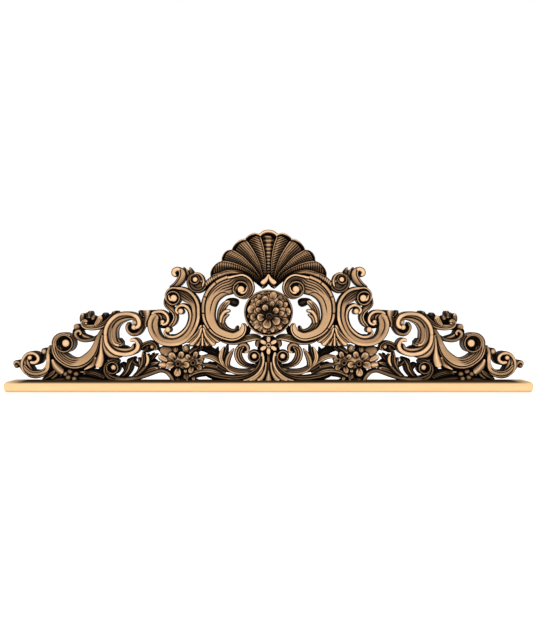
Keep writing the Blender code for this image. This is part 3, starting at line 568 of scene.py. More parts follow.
def roundel():
    """Rope-edged roundel with a domed field and a rose of plump petals."""
    current["piece"] = "carved_roundel"
    middle, squat, rope = 182.6, 0.9, 54.5
    # Dished plate, with floors under its lower and upper edge
    # Its bands add painted shade near the rose's heart and by the rim, and take painted shade off the open
    # field
    boss((0, middle), ((56.2, 32.5), (55.6, 34.6), (54.4, 35.8), (53, 35.2), (52.2, 33), (51.4, 24),
         (49, 23.4), (47.4, 27), (40, 29.6), (30, 31), (16, 31.6), (4, 31.6)), 220, False, squat=squat,
         bands=((9, 0.4), (14, 0.1), (28, -0.3), (45, -0.6), (48.5, 0.1), (52, 0.35), (56, 0.3)))
    lower = ((-0.6, 0.8), (-0.9, 2), (-1.3, 2.6), (-1.84, 2.6), (-2.24, 2), (-2.54, 0.8))
    stroke("field", 29, [(47 * math.cos(a), middle + 47 * math.sin(a), w) for a, w in lower],
           mirrored=False, shade_shift=-0.3)
    upper = ((0.6, 0.8), (0.9, 2.4), (1.3, 3.4), (1.84, 3.4), (2.24, 2.4), (2.54, 0.8))
    stroke("field", 30, [(50 * math.cos(a), middle + 45.5 * math.sin(a), w) for a, w in upper],
           mirrored=False, shade_shift=-0.5)
    # Rope edge
    x0, z0 = seat(0, middle, 35)
    a = np.linspace(0, 2 * math.pi, 941)[:, None]
    b = np.linspace(0, 2 * math.pi, 13)[None, :]
    twist = np.abs(np.sin(54 * a + 0.8 * b))
    r = 1.0 + 0.5 * twist ** 0.6
    upper = ease((np.sin(a) + 0.35) / 0.9)
    rise = np.where(np.sin(a) > 0, squat, 1.0)
    out = rope + r * np.cos(b)
    rim = np.stack([x0 + out * np.cos(a), z0 + rise * out * np.sin(a), 35.7 - 3.4 * upper + r * np.sin(b)],
                   axis=2)
    # Painted shade between the twists of the rope; the rope is also darker over its upper half
    add_ring(rim, (0.5 * (1 - twist ** 0.7) + 0.26 + 0.55 * upper)[:-1, :-1])
    # Rose, with each petal's place, length, width and height
    heart = (2.0, 172.2)
    rose = ((16.5, 185, 6.5, 7, 39.8), (-7.4, 191, 6.8, 7, 39.9), (-17.2, 169.7, 7.6, 9, 39.6),
            (-3.1, 155, 9.4, 10, 39.9), (17.1, 161.8, 8.6, 9.4, 39.5), (7.9, 199.7, 6.4, 6, 37.9),
            (28.1, 178.3, 6.8, 6, 38), (-22, 186.2, 6.4, 5.6, 38), (25, 199.7, 7.4, 8.2, 36.6),
            (-7.4, 210.1, 7.4, 8.6, 36.8), (36.1, 161.8, 9.2, 7.6, 36.4), (-33.7, 170.3, 7, 8.6, 36.2),
            (-20.8, 201.5, 6.6, 9.6, 36.4), (11, 218.7, 9.4, 8.4, 34.8), (44, 182.6, 6.2, 9, 34.4),
            (-39.2, 188, 7.6, 9.6, 34.6), (-24.5, 150.8, 8.6, 6.2, 34.2), (23.8, 149, 8, 6, 34.2),
            (-7.4, 143.4, 8.4, 5.4, 33.8), (8.5, 144.6, 8, 5.6, 33.9), (36.7, 197.9, 7.4, 6, 34),
            (26.3, 215, 7.4, 5, 33), (-20.8, 216.2, 6.8, 5.6, 33.2), (-34.3, 205.2, 5.6, 4.4, 32),
            (39.8, 205.8, 4.4, 3.4, 31), (-4.9, 224.2, 7.4, 5, 31.6), (-37.4, 160.5, 4.6, 4.2, 32),
            (-45, 172, 4, 3.4, 31), (1, 136, 4.6, 3.2, 31), (-15, 138, 4.8, 3.2, 30.6),
            (17, 138.5, 4.6, 3.2, 30.6), (38, 150, 5, 4, 31), (46, 170, 4, 3.4, 30.6))
    for x, z, long, wide, high in rose:
        angle = math.degrees(math.atan2(z - heart[1], x - heart[0]))
        petal((x, z), angle, 1.2 * long, 1.2 * wide, high, False, creases=4 if wide > 7 else 3,
              shade_shift=0.2 if high > 35 else -0.04)
    boss(heart, ((9, 29), (7.8, 33), (6.4, 34), (5, 32), (3.6, 25), (1, 25)), 48, False, shade_shift=0.42,
         bands=((4.5, 0.6), (5.6, 0), (6.6, -0.2), (8, 0)))


def great_scrolls():
    """The two large C-scrolls of each half with their volutes and inner branches."""
    current["piece"] = "carved_great_scrolls"
    panel = ((0.38, -0.4), (0.4, -6.5), (0.44, -11), (0.5, -12), (0.62, -11.5))
    head = coil((63, 233), 8.5, 38.5, 17, 62, 1, 3.2, (34.5, 36.5))[::-1]
    # First scroll, its volute and its inner branch
    stroke("scroll", 36, head + [(80, 252.6, 18.8, 35), (86.5, 246.6, 23, 35), (110, 237.5, 21.5, 35.4),
           (129.5, 218.5, 19.5, 35.8), (138.2, 192, 17.8, 36.2), (136, 163, 15.2, 36.6),
           (118.5, 137, 12, 36.8), (85, 124.5, 10.5, 37), (64, 131.5, 9.4, 37), (57, 146, 7.8, 37),
           (60.5, 155.5, 4.6, 37)], flip=True, notch=(33, 1.6, 9, 0.38, 0.73),
           grooves=((-0.28, 1.1, 1.1, 0.18, 0.52), (-0.02, 1.1, 1.1, 0.2, 0.47),
           (0.24, 1.1, 1.1, 0.21, 0.43), (0.5, 1.1, 1.1, 0.22, 0.4), (panel, 0.8, 1.3, 0.38, 0.6)),
           shade=((0, 0.36), (0.16, 0.28), (0.24, 0.1), (0.4, 0.0), (0.55, -0.06), (1, -0.06)))
    volute((63, 233.5), 7.8, 17, 38, -80, -1, 125)
    stroke("strap", (30, 33), [(71, 151, 4), (74, 141, 5), (84, 137, 6), (97, 142, 7), (107, 154, 8),
           (110.5, 171, 8), (108, 187, 8), (99, 200, 7), (88, 206, 4)], flip=True,
           grooves=((5, 0.8, 1.6, 0, 1), (9, 0.8, 1.2, 0.3, 0.9)))
    stroke("leaf", (27, 20), [(100, 202, 5), (90, 206, 8), (78, 204, 10.5), (68, 200.5, 8.5)], shade_shift=0.14,
           grooves=flutes(3, -0.4, 0.4, 0.9))
    stroke("leaf", (34, 37), [(110, 157, 3), (107.5, 171, 5), (100, 182, 5), (88, 185.5, 4)])
    stroke("leaf", (32, 34), [(104, 155, 3), (101.5, 168, 4), (91, 177, 2.5)])
    # Rope band over the first scroll
    # A low strip below the rope, painted dark as shade
    stroke("bead", (20, 21), [(44, 258, 4), (58, 265, 5), (82, 268, 6), (105, 263, 6), (125, 252, 6),
           (141, 236, 5)], shade_shift=0.45)
    stroke("bead", (24, 31), [(58, 270, 4), (78, 273.5, 5.5), (95, 272.5, 6), (112, 267, 6.5),
           (128, 258.5, 6.5), (141, 248, 6), (150, 238, 6)], twist=(5.6, 1.8, 0.5, 0.56, 0.97),
           grooves=vein(0.35, 1.2, 0, 0.5), shade_shift=-0.22)
    # Ear between the scrolls, with its leaves
    stroke("strap", (32.6, 36), [(145, 243, 6), (152, 235, 6), (163, 231.5, 6.5), (174.5, 236.5, 7.5),
           (180.5, 249, 7.5), (177.5, 260, 7.4), (169.5, 266, 6), (160, 264.8, 5.2), (154.3, 258, 4.4),
           (153.5, 250, 3.5)], grooves=vein(-0.1, 1.8, 0, 0.95), shade_shift=0.3)
    stroke("bead", (34, 37), [(151, 240, 1.6), (148.6, 249, 2.8), (150, 259, 3), (154.5, 266.5, 3),
           (162, 270.4, 2.6), (170, 270.2, 1.8)], shade_shift=0.02)
    boss((162, 248), ((15, 27), (14, 30.5), (3, 30.5)), shade_shift=0.12)
    volute((167.5, 256.5), 5.6, 10.5, 36.6, 200, -1, 0)
    leaf(29, (176, 260), (180.5, 285), 2, 6, shade_shift=-0.2)
    leaf(28.5, (186, 254), (193.5, 285), -2, 6, shade_shift=-0.2)
    leaf(29.5, (181, 260), (187, 280), 0, 4.5, shade_shift=-0.2)
    leaf(27, (171, 264), (173, 276), 1, 4, shade_shift=-0.2)
    # Hook on the second scroll
    stroke("bead", 24, [(201, 265, 4), (206, 270, 6), (208, 275, 5)], shade_shift=0.3)
    stroke("strap", (30, 36), [(226, 238, 3), (212, 245, 7), (201.5, 256, 9), (197.5, 268, 8.5),
           (201, 277.5, 6.5), (209, 280, 5)], grooves=vein(5.5, 1.7))
    stroke("bead", (36.5, 34), [(202, 278, 5), (209, 280.3, 5.6), (216, 276, 6.2), (216.5, 269, 5.6),
           (211, 265, 4)], shade_shift=-0.15)
    head = coil((217, 214), 8, 26.5, 16.5, 105, -1, 2.0, (35.5, 37))[::-1]
    # Second scroll, its volute and its tail
    stroke("scroll", 36.5, head + [(202, 229, 13, 36), (187.5, 220.5, 16, 36.5), (174.5, 210, 13.5, 37),
           (167, 197, 11, 37.2), (165, 182, 9.8, 37.2), (165.8, 166, 9.8, 37), (171, 149, 9.4, 36.8),
           (180, 133, 9.2, 36.6), (192.5, 120.5, 9.2, 36.5), (208, 113, 9, 36.4), (225, 111.3, 8.8, 36.2),
           (242, 114.5, 9.4, 36), (255, 124, 11, 36), (263, 138, 12.6, 36), (265.5, 153, 13.2, 36),
           (262.5, 167, 12, 36), (256, 177, 9, 36)], gap=1.02, grooves=((-0.09, 1, 1.0, 0.12, 0.36),
           (0.2, 1, 1.0, 0.14, 0.32), (0.5, 1, 0.9, 0.14, 0.3), (13, 0.9, 1.1, 0.84, 0.97)), bead=((0, 1),
           (0.42, 1), (0.55, 0.35), (0.62, 0.12), (1, 0.12)), shade=((0, 0.42), (0.12, 0.4), (0.24, 0.2),
           (0.4, 0.12), (0.6, 0.04), (1, 0.06)))
    volute((217, 213.5), 7.6, 14.8, 38, -50, 1, 85)
    stroke("bead", (35, 39), [(267, 177, 4), (256, 182.5, 4.6), (243, 182.5, 4), (233.5, 176, 3.6),
           (229.5, 166, 3.5), (232, 157, 3.5), (240, 153.5, 3.6), (245.5, 158, 3.6)], shade_shift=0.05)
    stroke("leaf", (33, 31), [(262, 172, 4), (252, 176, 4), (245, 170, 3), (246, 160, 2)], shade_shift=0.15)
    berry((242.5, 159.5), 4.6, 39.5)
    boss((239, 166), ((14, 24.5), (12, 27), (3, 27)), shade_shift=-0.35)
    stroke("leaf", (18, 24), [(226, 186, 3), (221, 172, 5), (225, 158, 6), (236, 149, 5), (250, 150, 4)])
    # Tendril and strap inside the second scroll
    stroke("bead", (21, 22), [(207, 186, 6), (196, 196, 6.6), (185, 192, 6.6), (179, 181, 6.6),
           (178.5, 166, 6.6), (183.5, 150, 6.6), (192, 138.5, 6.6), (203, 129.5, 6.6), (216, 124.8, 6.4),
           (228, 127, 5.5)], shade_shift=0.4)
    stroke("bead", (37, 31), [(206, 178, 3), (211, 185, 3.6), (207, 194, 3.8), (197, 197.5, 3.8),
           (186, 193, 3.8), (179.5, 184, 3.8)])
    stroke("bead", (31.5, 36), [(182, 189, 3.6), (178, 177, 3.6), (178.5, 164, 3.6), (183.5, 150, 3.8),
           (192, 138.5, 3.8), (203, 129.5, 3.8), (216, 124.5, 3.8), (229, 126, 3.8), (237, 134, 3.6),
           (234, 142, 3.2)])
    berry((201, 183), 7, 38)
    berry((230, 141), 7, 38.4)
    stroke("strap", (28, 31), [(230, 224, 2.5), (234, 211, 5), (233, 200, 7), (225, 192, 8),
           (216.5, 182, 6.5), (213, 170, 5.5), (217, 158, 5.5), (227, 148, 4)], flip=True,
           grooves=vein(5, 1.5), shade_shift=-0.12)
    # Tulip beyond the second scroll
    stroke("leaf", (27, 31), [(281, 147, 3), (280, 158, 5.5), (276.5, 169, 10), (275.5, 178, 14),
           (276, 186, 14.5)], grooves=((0.5, 1.2, 1.3, 0.2, 1),), ends=(True, False), shade_shift=-0.06)
    stroke("leaf", (25, 23), [(289, 172, 4), (292, 180, 6), (296, 185, 5)], shade_shift=0.05)


def pleat_fan():
    """Pleated fan under the place where the two great scrolls meet."""
    current["piece"] = "carved_foliage"
    middle = 151
    for side in (-1, 1):
        for lines, h, dark in (
                (((2, 152, 2.5), (14, 134, 5), (27, 121.5, 6.5), (39, 113.5, 6)), 33.5, -0.05),
                (((1.5, 146, 2.5), (9, 128, 5), (20, 114.5, 7), (29, 108, 7)), 35.5, -0.05),
                (((3, 122, 2), (8, 113, 5), (13, 105, 6)), 33, 0.05)):
            stroke("leaf", (h - 1, h + side * 0.3), [(middle + side * x, z, w) for x, z, w in lines],
                   grooves=((0.3 * side, 0.7, 1.0, 0.2, 1),), shade_shift=dark)
    stroke("leaf", (34, 36.4), [(middle, 134, 1.4), (middle, 120, 2.4), (middle, 104, 3)])
    stroke("bead", (26, 27), [(122, 108, 3), (136, 107, 4), (151, 107.5, 5), (168, 107, 4.5),
           (184, 106, 3)], shade_shift=-0.05)
    # A low floor behind the pleats, painted dark as shade
    stroke("bead", (16, 17), [(151, 176, 4), (151, 156, 6), (151, 140, 10), (151, 124, 20), (151, 112, 30)],
           shade_shift=0.45)


def foot_spray():
    """Foliage under the roundel: flower, stem, paired volutes, bands and leaves."""
    current["piece"] = "carved_foliage"
    # Arms on each side of the flower
    stroke("strap", (28, 31), [(16, 121, 3.5), (28, 124, 7), (42, 122.5, 9), (58, 118, 8.5), (75, 113.5, 7),
           (92, 113.5, 6), (110, 118, 4)], grooves=((-0.2, 0.7, 1.3, 0, 1), (0.15, 0.7, 1.3, 0, 1),
           (0.5, 0.8, 1.2, 0, 0.7)), shade_shift=-0.08)
    stroke("bead", (27, 24), [(17, 119, 5), (23.5, 114.5, 6.5), (26, 107.5, 5.4), (24, 102, 3.4)],
           shade_shift=0.12)
    stroke("leaf", 15, [(15, 86, 5), (20, 95, 5.5), (22, 104, 4)], shade_shift=0.5)
    stroke("leaf", (22, 20), [(43, 152, 4), (47, 139, 6), (52, 124, 5)], shade_shift=0.3)
    current["piece"] = "carved_centre"
    # Flower and stem
    boss((0, 107), ((23, 14), (22, 16), (2, 17)), 56, False, shade_shift=0.45)
    for i in range(6):
        a = math.radians(30 + 60 * i)
        petal((13 * math.cos(a), 106 + 13 * math.sin(a)), 30 + 60 * i, 8.2, 5.2, 30.5 + 0.13 * i, False,
              creases=0, shade_shift=-0.3)
    boss((0, 106), ((6.4, 25), (5.4, 30), (4.4, 32), (3.2, 31.6), (2.2, 28), (0.5, 28)), 40, False,
         shade_shift=0.15)
    stroke("bead", (15, 13), [(0, 96, 12), (0, 76, 14), (0, 55, 18), (0, 38, 34), (0, 22, 52)],
           mirrored=False, shade_shift=0.5)
    stroke("strap", (22, 25), [(0, 92, 4), (0, 70, 4), (0, 48, 4.5), (0, 30, 5)], mirrored=False,
           shade_shift=0.12)
    stroke("leaf", (24, 29), [(0, 50, 1.5), (0, 38, 4.5), (0, 22, 9)], mirrored=False, shade_shift=-0.05,
           ends=(True, False))
    current["piece"] = "carved_foliage"
    # Pleats beside the stem
    stroke("leaf", (26, 30), [(5.5, 68, 2), (7.5, 50, 3.4), (13.5, 36, 5), (22, 24, 7)], shade_shift=-0.1,
           ends=(True, False))
    stroke("leaf", (27, 31), [(11, 62, 2), (16, 46, 3.4), (27, 34, 5), (42, 24, 7)], shade_shift=-0.1,
           ends=(True, False))
    # Inner curl with its band and eye
    stroke("bead", (29, 32), [(58, 24, 3), (44, 28.5, 3.4), (29, 37.5, 3.4), (18, 50, 3.2), (12.5, 64, 3),
           (12, 78, 3), (15.5, 90, 3)], shade_shift=-0.15)
    stroke("strap", (26, 30), [(150, 47, 3), (128, 39, 5), (104, 34, 5.6), (80, 31.5, 5.2), (58, 34, 5.4),
           (38, 42, 5.6), (25, 53, 5), (18.5, 66, 4), (18, 80, 3)], grooves=vein(0.1, 1.3),
           shade_shift=0.28)
    boss((32.5, 81), ((15.6, 20), (14.4, 26.5), (13.2, 30), (12, 31), (10.8, 29), (9.6, 19.5), (4, 19.5)),
         72, shade_shift=0.5, pale=(12.2, 0.9, 0.34))
    berry((32.5, 81), 5.8, 34)
    stroke("leaf", 16, [(19, 72, 3), (23, 65, 4), (31, 62.5, 3.5)], shade_shift=0.5)
    # Outer curl
    stroke("strap", (24, 31), [(22, 60, 3.5), (38, 58.5, 4.2), (52, 60.5, 6), (63.5, 68.5, 8.5),
           (69.5, 80.5, 9.2), (69, 92.5, 9), (63, 101.5, 8), (56, 103.5, 5)],
           grooves=((-0.2, 1.2, 1.6, 0, 1), (0.4, 1.2, 1.4, 0.1, 0.95)), shade_shift=-0.08)
    disc((55, 98), 11, 20, 0.4)
    stroke("bead", 32, [(68, 103, 3.5), (59, 107.5, 4.2), (50.5, 105.5, 4.4), (46.5, 97.5, 4.2),
           (49.5, 90.5, 3.4), (55, 90.5, 2.8)], shade_shift=0.25)
    # Band and leaves of the spray
    stroke("strap", (27, 29), [(16, 61, 3), (28, 52, 4.5), (46, 46, 6), (66, 44.5, 6.8), (82, 48, 6.8),
           (93, 55, 5.5), (100, 63, 3)], grooves=((-0.1, 1.2, 1.2, 0, 1), (0.45, 1.2, 1.1, 0.3, 1)),
           shade_shift=-0.16)
    stroke("leaf", 24, [(76, 45, 2.5), (90, 48, 5), (103, 53, 6), (118, 62, 3)], shade_shift=0.12)
    stroke("leaf", (30, 31), [(86, 46, 1.5, 24), (94.5, 61, 6), (93, 74, 6.6), (87.5, 86, 5.4),
           (80.5, 98, 1.5)], grooves=((0.1, 1.2, 1.4, 0.1, 0.9),), shade_shift=0.02)
    stroke("leaf", (26, 27), [(95, 54, 3), (102, 66, 5.6), (101, 80, 6.4), (97, 94, 5.6), (93.5, 109, 1.5)],
           shade_shift=0.22, grooves=vein(0.2, 1.6, 0.1, 0.9))
    stroke("leaf", (32, 32.5), [(95, 52, 1.5, 26), (105, 64, 4.4), (109.5, 76, 5), (108, 89, 4.6),
           (102.5, 102, 1.5)], grooves=vein(0.1, 1.4, 0.1, 0.9))
    stroke("leaf", (22, 17), [(101, 58, 6), (113, 76, 10), (127, 89, 10), (143, 96, 7), (160, 97, 3)],
           shade_shift=0.3, grooves=flutes(3, -0.5, 0.5, 1.2))
    leaf(20, (116, 78), (116, 103), -3, 6, shade_shift=0.25)
    leaf(19, (126, 86), (148, 104), 3, 6, shade_shift=0.25)
    leaf(18, (122, 84), (134, 105), 0, 5, shade_shift=0.25)
    stroke("leaf", (30, 28), [(88, 48, 2, 23), (102, 60, 5), (118, 72, 6), (136, 79.5, 5.6), (156, 79, 2)],
           grooves=((0.0, 0.8, 1.8, 0.1, 1), (0.5, 0.7, 1.2, 0.2, 0.9)))
    stroke("leaf", (24, 25), [(116, 56, 3), (128, 58, 4.6), (141, 60.5, 4.6), (153, 62, 2.5)],
           grooves=vein(0.1, 1.2, 0.1))
    stroke("leaf", (21, 22), [(94, 49, 3), (100, 50, 4.5), (111, 55, 7), (126, 61, 6), (139, 67, 1.5)],
           shade_shift=0.28, grooves=vein(0.1, 1.6, 0.1))
    stroke("leaf", (23, 24), [(98, 42, 2.5), (105, 45, 5), (114, 49, 6), (126, 52.5, 5), (148, 56, 2.5)],
           shade_shift=0.1, grooves=vein(0.0, 1.5, 0.1))
    stroke("leaf", (29, 28), [(98, 37, 1.5, 21), (112, 41.5, 3.4, 26), (128, 46.5, 5), (148, 48, 5.4),
           (166, 44, 5), (182, 35, 2.5)], grooves=vein(0.1, 1.2, 0.1), shade_shift=0.14)
    stroke("leaf", 22, [(120, 36, 3), (140, 39.5, 5), (160, 38, 6), (176, 31, 4)], shade_shift=0.25)
    stroke("leaf", (17, 16), [(44, 29, 4), (66, 28, 6), (90, 28, 6.6), (112, 29, 6.5), (130, 33, 4.5),
           (142, 37, 3)], shade_shift=0.35)


def flowers():
    """Two open flowers with their leaves, between the spray and the arched stem."""
    current["piece"] = "carved_flowers"
    for (cx, cz), petals in (
            ((206, 64), ((220, 80.5, 10, 9, 33), (200, 83.5, 8.6, 7.6, 31.5), (224.5, 60.5, 10.5, 10, 33.4),
                         (208, 44, 10, 9.4, 33), (189, 61, 8.6, 8.2, 32.4))),
            ((172, 66), ((167, 83.5, 8.4, 6.4, 30), (155.5, 72, 7.4, 6.6, 29), (159, 55, 8, 7.4, 30),
                         (177, 50, 8.4, 7.2, 31), (183.5, 79, 6.6, 6.2, 31.6)))):
        for x, z, long, wide, high in petals:
            petal((x, z), math.degrees(math.atan2(z - cz, x - cx)), long * 1.02, wide * 1.02, high,
                  creases=4, shade_shift=0.14)
        boss((cx, cz), ((7, 24), (6.2, 29), (5.2, 31), (4, 30), (2.6, 26), (0.6, 26)), 40, shade_shift=0.4)
    # Bud and floors between the flowers
    petal((190, 48), -100, 4.6, 4.4, 27, creases=1)
    stroke("bead", (23, 25), [(150, 64, 12), (165, 66, 20), (182, 68, 24), (206, 68, 24), (226, 72, 16),
           (240, 74, 8)], shade_shift=-0.55)
    stroke("bead", 19, [(198, 101, 5), (212, 104, 6), (230, 103, 6), (247, 98, 4)], shade_shift=-0.05)
    disc((217, 47), 8, 15, 0.4)
    # Leaves and buds around the flowers
    stroke("leaf", (30, 31), [(231, 70, 4), (238, 73.5, 7), (246, 78, 7.5), (252, 82, 4)], shade_shift=-0.1,
           grooves=((0.1, 0.7, 0.8, 0.1, 0.8),))
    stroke("leaf", (31, 30), [(231, 60, 4), (238, 60.5, 8), (246, 61, 7.5), (251, 61, 3.5)], shade_shift=-0.1)
    petal((234, 94), -75, 13.5, 18, 28, creases=0, tilt=0, cup=0)
    petal((213, 98), -80, 9, 9, 26, creases=2, shade_shift=-0.1)
    stroke("bead", (15, 16), [(158, 42, 7), (176, 40, 11), (192, 40, 14), (206, 42, 14), (217, 46, 8)],
           shade_shift=-0.12)
    petal((246, 97), -20, 7, 6.5, 24, creases=0, shade_shift=0.05)
    stroke("leaf", (23, 25), [(158, 103, 4), (167, 99, 6), (176, 93, 5), (181, 87, 3)],
           grooves=vein(0.1, 1.2, 0.1), shade_shift=0.05)
    stroke("leaf", (22, 21), [(150, 101, 3), (160, 95, 5), (170, 92, 4)], shade_shift=0.3)
    petal((189, 98), 80, 9.6, 8.2, 28, creases=2, shade_shift=-0.1)
    leaf(23, (206, 86), (207, 104), 2, 7)
    leaf(24, (194, 50), (186, 24), -3, 8, shade_shift=0.1)
    petal((188, 36), -90, 9, 8.6, 25, creases=1, shade_shift=0.2)
    leaf(24, (176, 46), (168, 26), 3, 6)
    stroke("leaf", (21, 22), [(158, 46, 4), (150, 40, 5), (140, 38, 3)], shade_shift=0.2)
    petal((172, 31), -110, 5.5, 4.6, 25, creases=1, shade_shift=0.05)
    petal((208, 29), -90, 6.5, 6.5, 24, creases=2, shade_shift=0.2)
    stroke("leaf", (18, 19), [(160, 22, 5), (185, 27, 7), (206, 28, 7), (218, 21, 5)], shade_shift=0.15)


def arch_stem():
    """Arched stem with its volute, the leaves that spring from it and small curls."""
    current["piece"] = "carved_outer_scrolls"
    # Stem and its curl
    stroke("bead", (26, 27), [(216, 20, 4), (223, 33, 5), (234, 44.5, 5), (248, 47.5, 5), (264, 42.5, 5),
           (282, 36, 5), (302, 30.5, 5), (330, 27, 5.5), (352, 28, 5.5)], shade_shift=0.16)
    stroke("strap", (27, 29), [(322, 27, 4), (345, 28, 6), (362, 33, 7), (371.5, 44, 6), (371.5, 57, 5.5),
           (364, 67, 5), (353, 71, 4.5), (343, 67, 3.5)], flip=True, grooves=vein(0.0, 1.5),
           shade_shift=0.25)
    boss((354.5, 55), ((16.5, 19), (15.5, 25), (14.2, 29.5), (12.8, 31), (11.4, 29), (10, 19.5), (4, 19.5)),
         72, shade_shift=0.5, pale=(12.8, 0.9, 0.36))
    berry((354.5, 55), 5.8, 34)
    # Leaves that spring from the stem
    stroke("bead", (15, 17), [(254, 70, 9), (266, 61, 15), (278, 51, 15), (289, 43, 9), (298, 36, 4)],
           shade_shift=0.5)
    stroke("leaf", (24, 27), [(302, 33, 3), (284, 44, 6), (268, 51, 6.5), (252, 53.5, 3)], shade_shift=0.12,
           grooves=vein(0.0, 1.4, 0, 0.9))
    stroke("leaf", (22, 25), [(304, 35, 3), (286, 50, 6.5), (270, 61, 6), (251, 67, 2)], shade_shift=0.1,
           grooves=vein(0.0, 1.4, 0, 0.9))
    stroke("leaf", (23, 22), [(304, 37, 3), (289, 52, 6), (275, 67, 6.5), (262, 81, 4), (254, 86, 2)],
           shade_shift=0.18, grooves=vein(-0.1, 1.6, 0, 0.9))
    stroke("leaf", 20, [(280, 66, 3), (270, 76, 4.5), (263, 89, 2)], shade_shift=0.2)
    stroke("leaf", (29, 30), [(304, 35, 3), (290, 47, 5), (279, 60, 6), (275.5, 73, 5.4), (279, 86, 2)],
           shade_shift=0.5)
    stroke("leaf", (32, 32.5), [(281, 58, 1.5), (276.5, 67, 3.6), (276, 77, 3.6), (279, 86, 1.5)],
           shade_shift=-0.16)
    stroke("leaf", (25, 26), [(305, 36, 3), (294, 50, 5.5), (287.5, 64, 6.5), (286, 78, 5.6), (288, 91, 2)],
           shade_shift=0.06, grooves=((0.1, 1.1, 1.4, 0.1, 0.9),))
    stroke("leaf", (23, 22), [(311, 33, 3), (299, 44, 4.4), (294, 56, 4.4), (294.5, 68, 4), (298, 78, 2)],
           shade_shift=-0.02)
    stroke("leaf", (19, 20), [(293, 57, 4), (299, 60, 4.5), (307, 66, 5), (312, 73, 3)], shade_shift=0.2)
    stroke("leaf", 21, [(342, 31, 4), (330, 38, 8), (321, 50, 9.4), (317, 63, 9.4), (309.5, 74, 6),
           (304, 79, 3)], grooves=flutes(2, -0.3, 0.4, 1.4), shade_shift=0.1)
    stroke("leaf", 16, [(302, 78, 3), (313, 74, 5), (324, 69, 5)], shade_shift=0.5)
    stroke("leaf", 18, [(322, 38, 4), (326, 50, 5.5), (331, 60, 6), (336, 67, 4)], shade_shift=0.3)
    # Small curl over the leaves
    stroke("strap", (28, 30), [(294, 98, 4.5), (285, 107.5, 5), (272, 112, 5), (261, 107.5, 4.6),
           (257, 99.5, 4), (261, 94.5, 3)], grooves=vein(0.1, 1.3), shade_shift=0.18)
    berry((266, 102.5), 5, 28.5)
    disc((268, 102), 10, 20, 0.2)
    leaf(26, (276, 104), (288, 92), -3, 5, shade_shift=0.15)
    leaf(24, (272, 98), (281, 90), -2, 4, shade_shift=0.2)
    stroke("leaf", (18, 19), [(280, 96, 6), (289, 101, 7), (300, 101, 6)], shade_shift=0.4)


def third_scroll():
    """The third C-scroll with its beaded edge."""
    current["piece"] = "carved_outer_scrolls"
    # Scroll and its beaded edge
    stroke("field", (34, 33.5), [(298, 165, 4.5), (314, 169.5, 5.5), (333, 167, 8), (348, 159, 10),
           (357, 144, 10.6), (358, 128, 10.8), (354, 115, 9), (345.5, 108.5, 5.5), (334, 107, 3)],
           grooves=((0.05, 1.0, 1.6, 0.1, 1),), shade_shift=0.06, side=(0.22, 0.9))
    stroke("strap", (31, 30), [(366, 118, 3), (360, 105, 6), (348, 96.5, 7), (334, 92.5, 7.5),
           (319, 93, 7.5), (308.5, 99, 7), (307, 110, 5.5)], shade_shift=-0.22, grooves=vein(0.2, 1.2))
    stroke("bead", (33, 35), [(357, 147, 2), (358.5, 132, 2.6), (356.5, 118, 3.2), (350.5, 108.5, 3.6),
           (341, 105.5, 3.2)], shade_shift=-0.1)
    stroke("bead", (38, 37.2), [(305, 145, 4.5), (297, 151, 5.5), (296.5, 161, 5.5), (302, 170.5, 5.5),
           (313, 176.5, 5.5), (327, 178, 5.5), (343, 175.5, 5.5), (356, 167, 5.5), (366, 155, 5.5),
           (371.5, 142, 5.5), (373, 128, 5.5)], side=(0.45, 0.9))
    stroke("bead", (37, 39), [(373, 132, 5.5), (371, 113, 5.5), (363.5, 99.5, 5.5), (352, 90, 5.5),
           (338, 85.5, 5.5), (324, 85, 5.5), (311, 88.5, 5.5), (302, 95, 5.5), (298.5, 105, 5.5),
           (302, 114.5, 5), (310, 118.5, 4.5), (317, 115, 4)], side=(0.45, 0.9))
    # Bud and floors inside the scroll
    berry((308, 147), 6, 38)
    stroke("leaf", (19, 18), [(290, 161, 5), (297, 150, 8), (308, 143, 9), (318, 146, 8), (322, 156, 7)])
    stroke("field", 32, [(305, 170, 5), (305, 160, 6), (305.5, 151, 5)], shade_shift=-0.3)
    stroke("bead", (26, 25), [(287, 168, 5), (287.5, 149, 4.5), (297, 134, 4.5), (311, 130.5, 4.5),
           (321.5, 138, 4), (324, 149, 4), (318, 158, 4)])
    stroke("leaf", 25, [(320, 98, 4), (332, 100, 6), (346, 101, 6), (360, 104, 5)], shade_shift=0.4)
    stroke("leaf", (31, 32), [(344, 122, 3), (340.5, 114, 5), (335, 108.5, 4.5)], shade_shift=0.15)
    stroke("leaf", 22, [(272, 155, 5), (286, 162, 6), (296, 170, 5)], shade_shift=0.25)

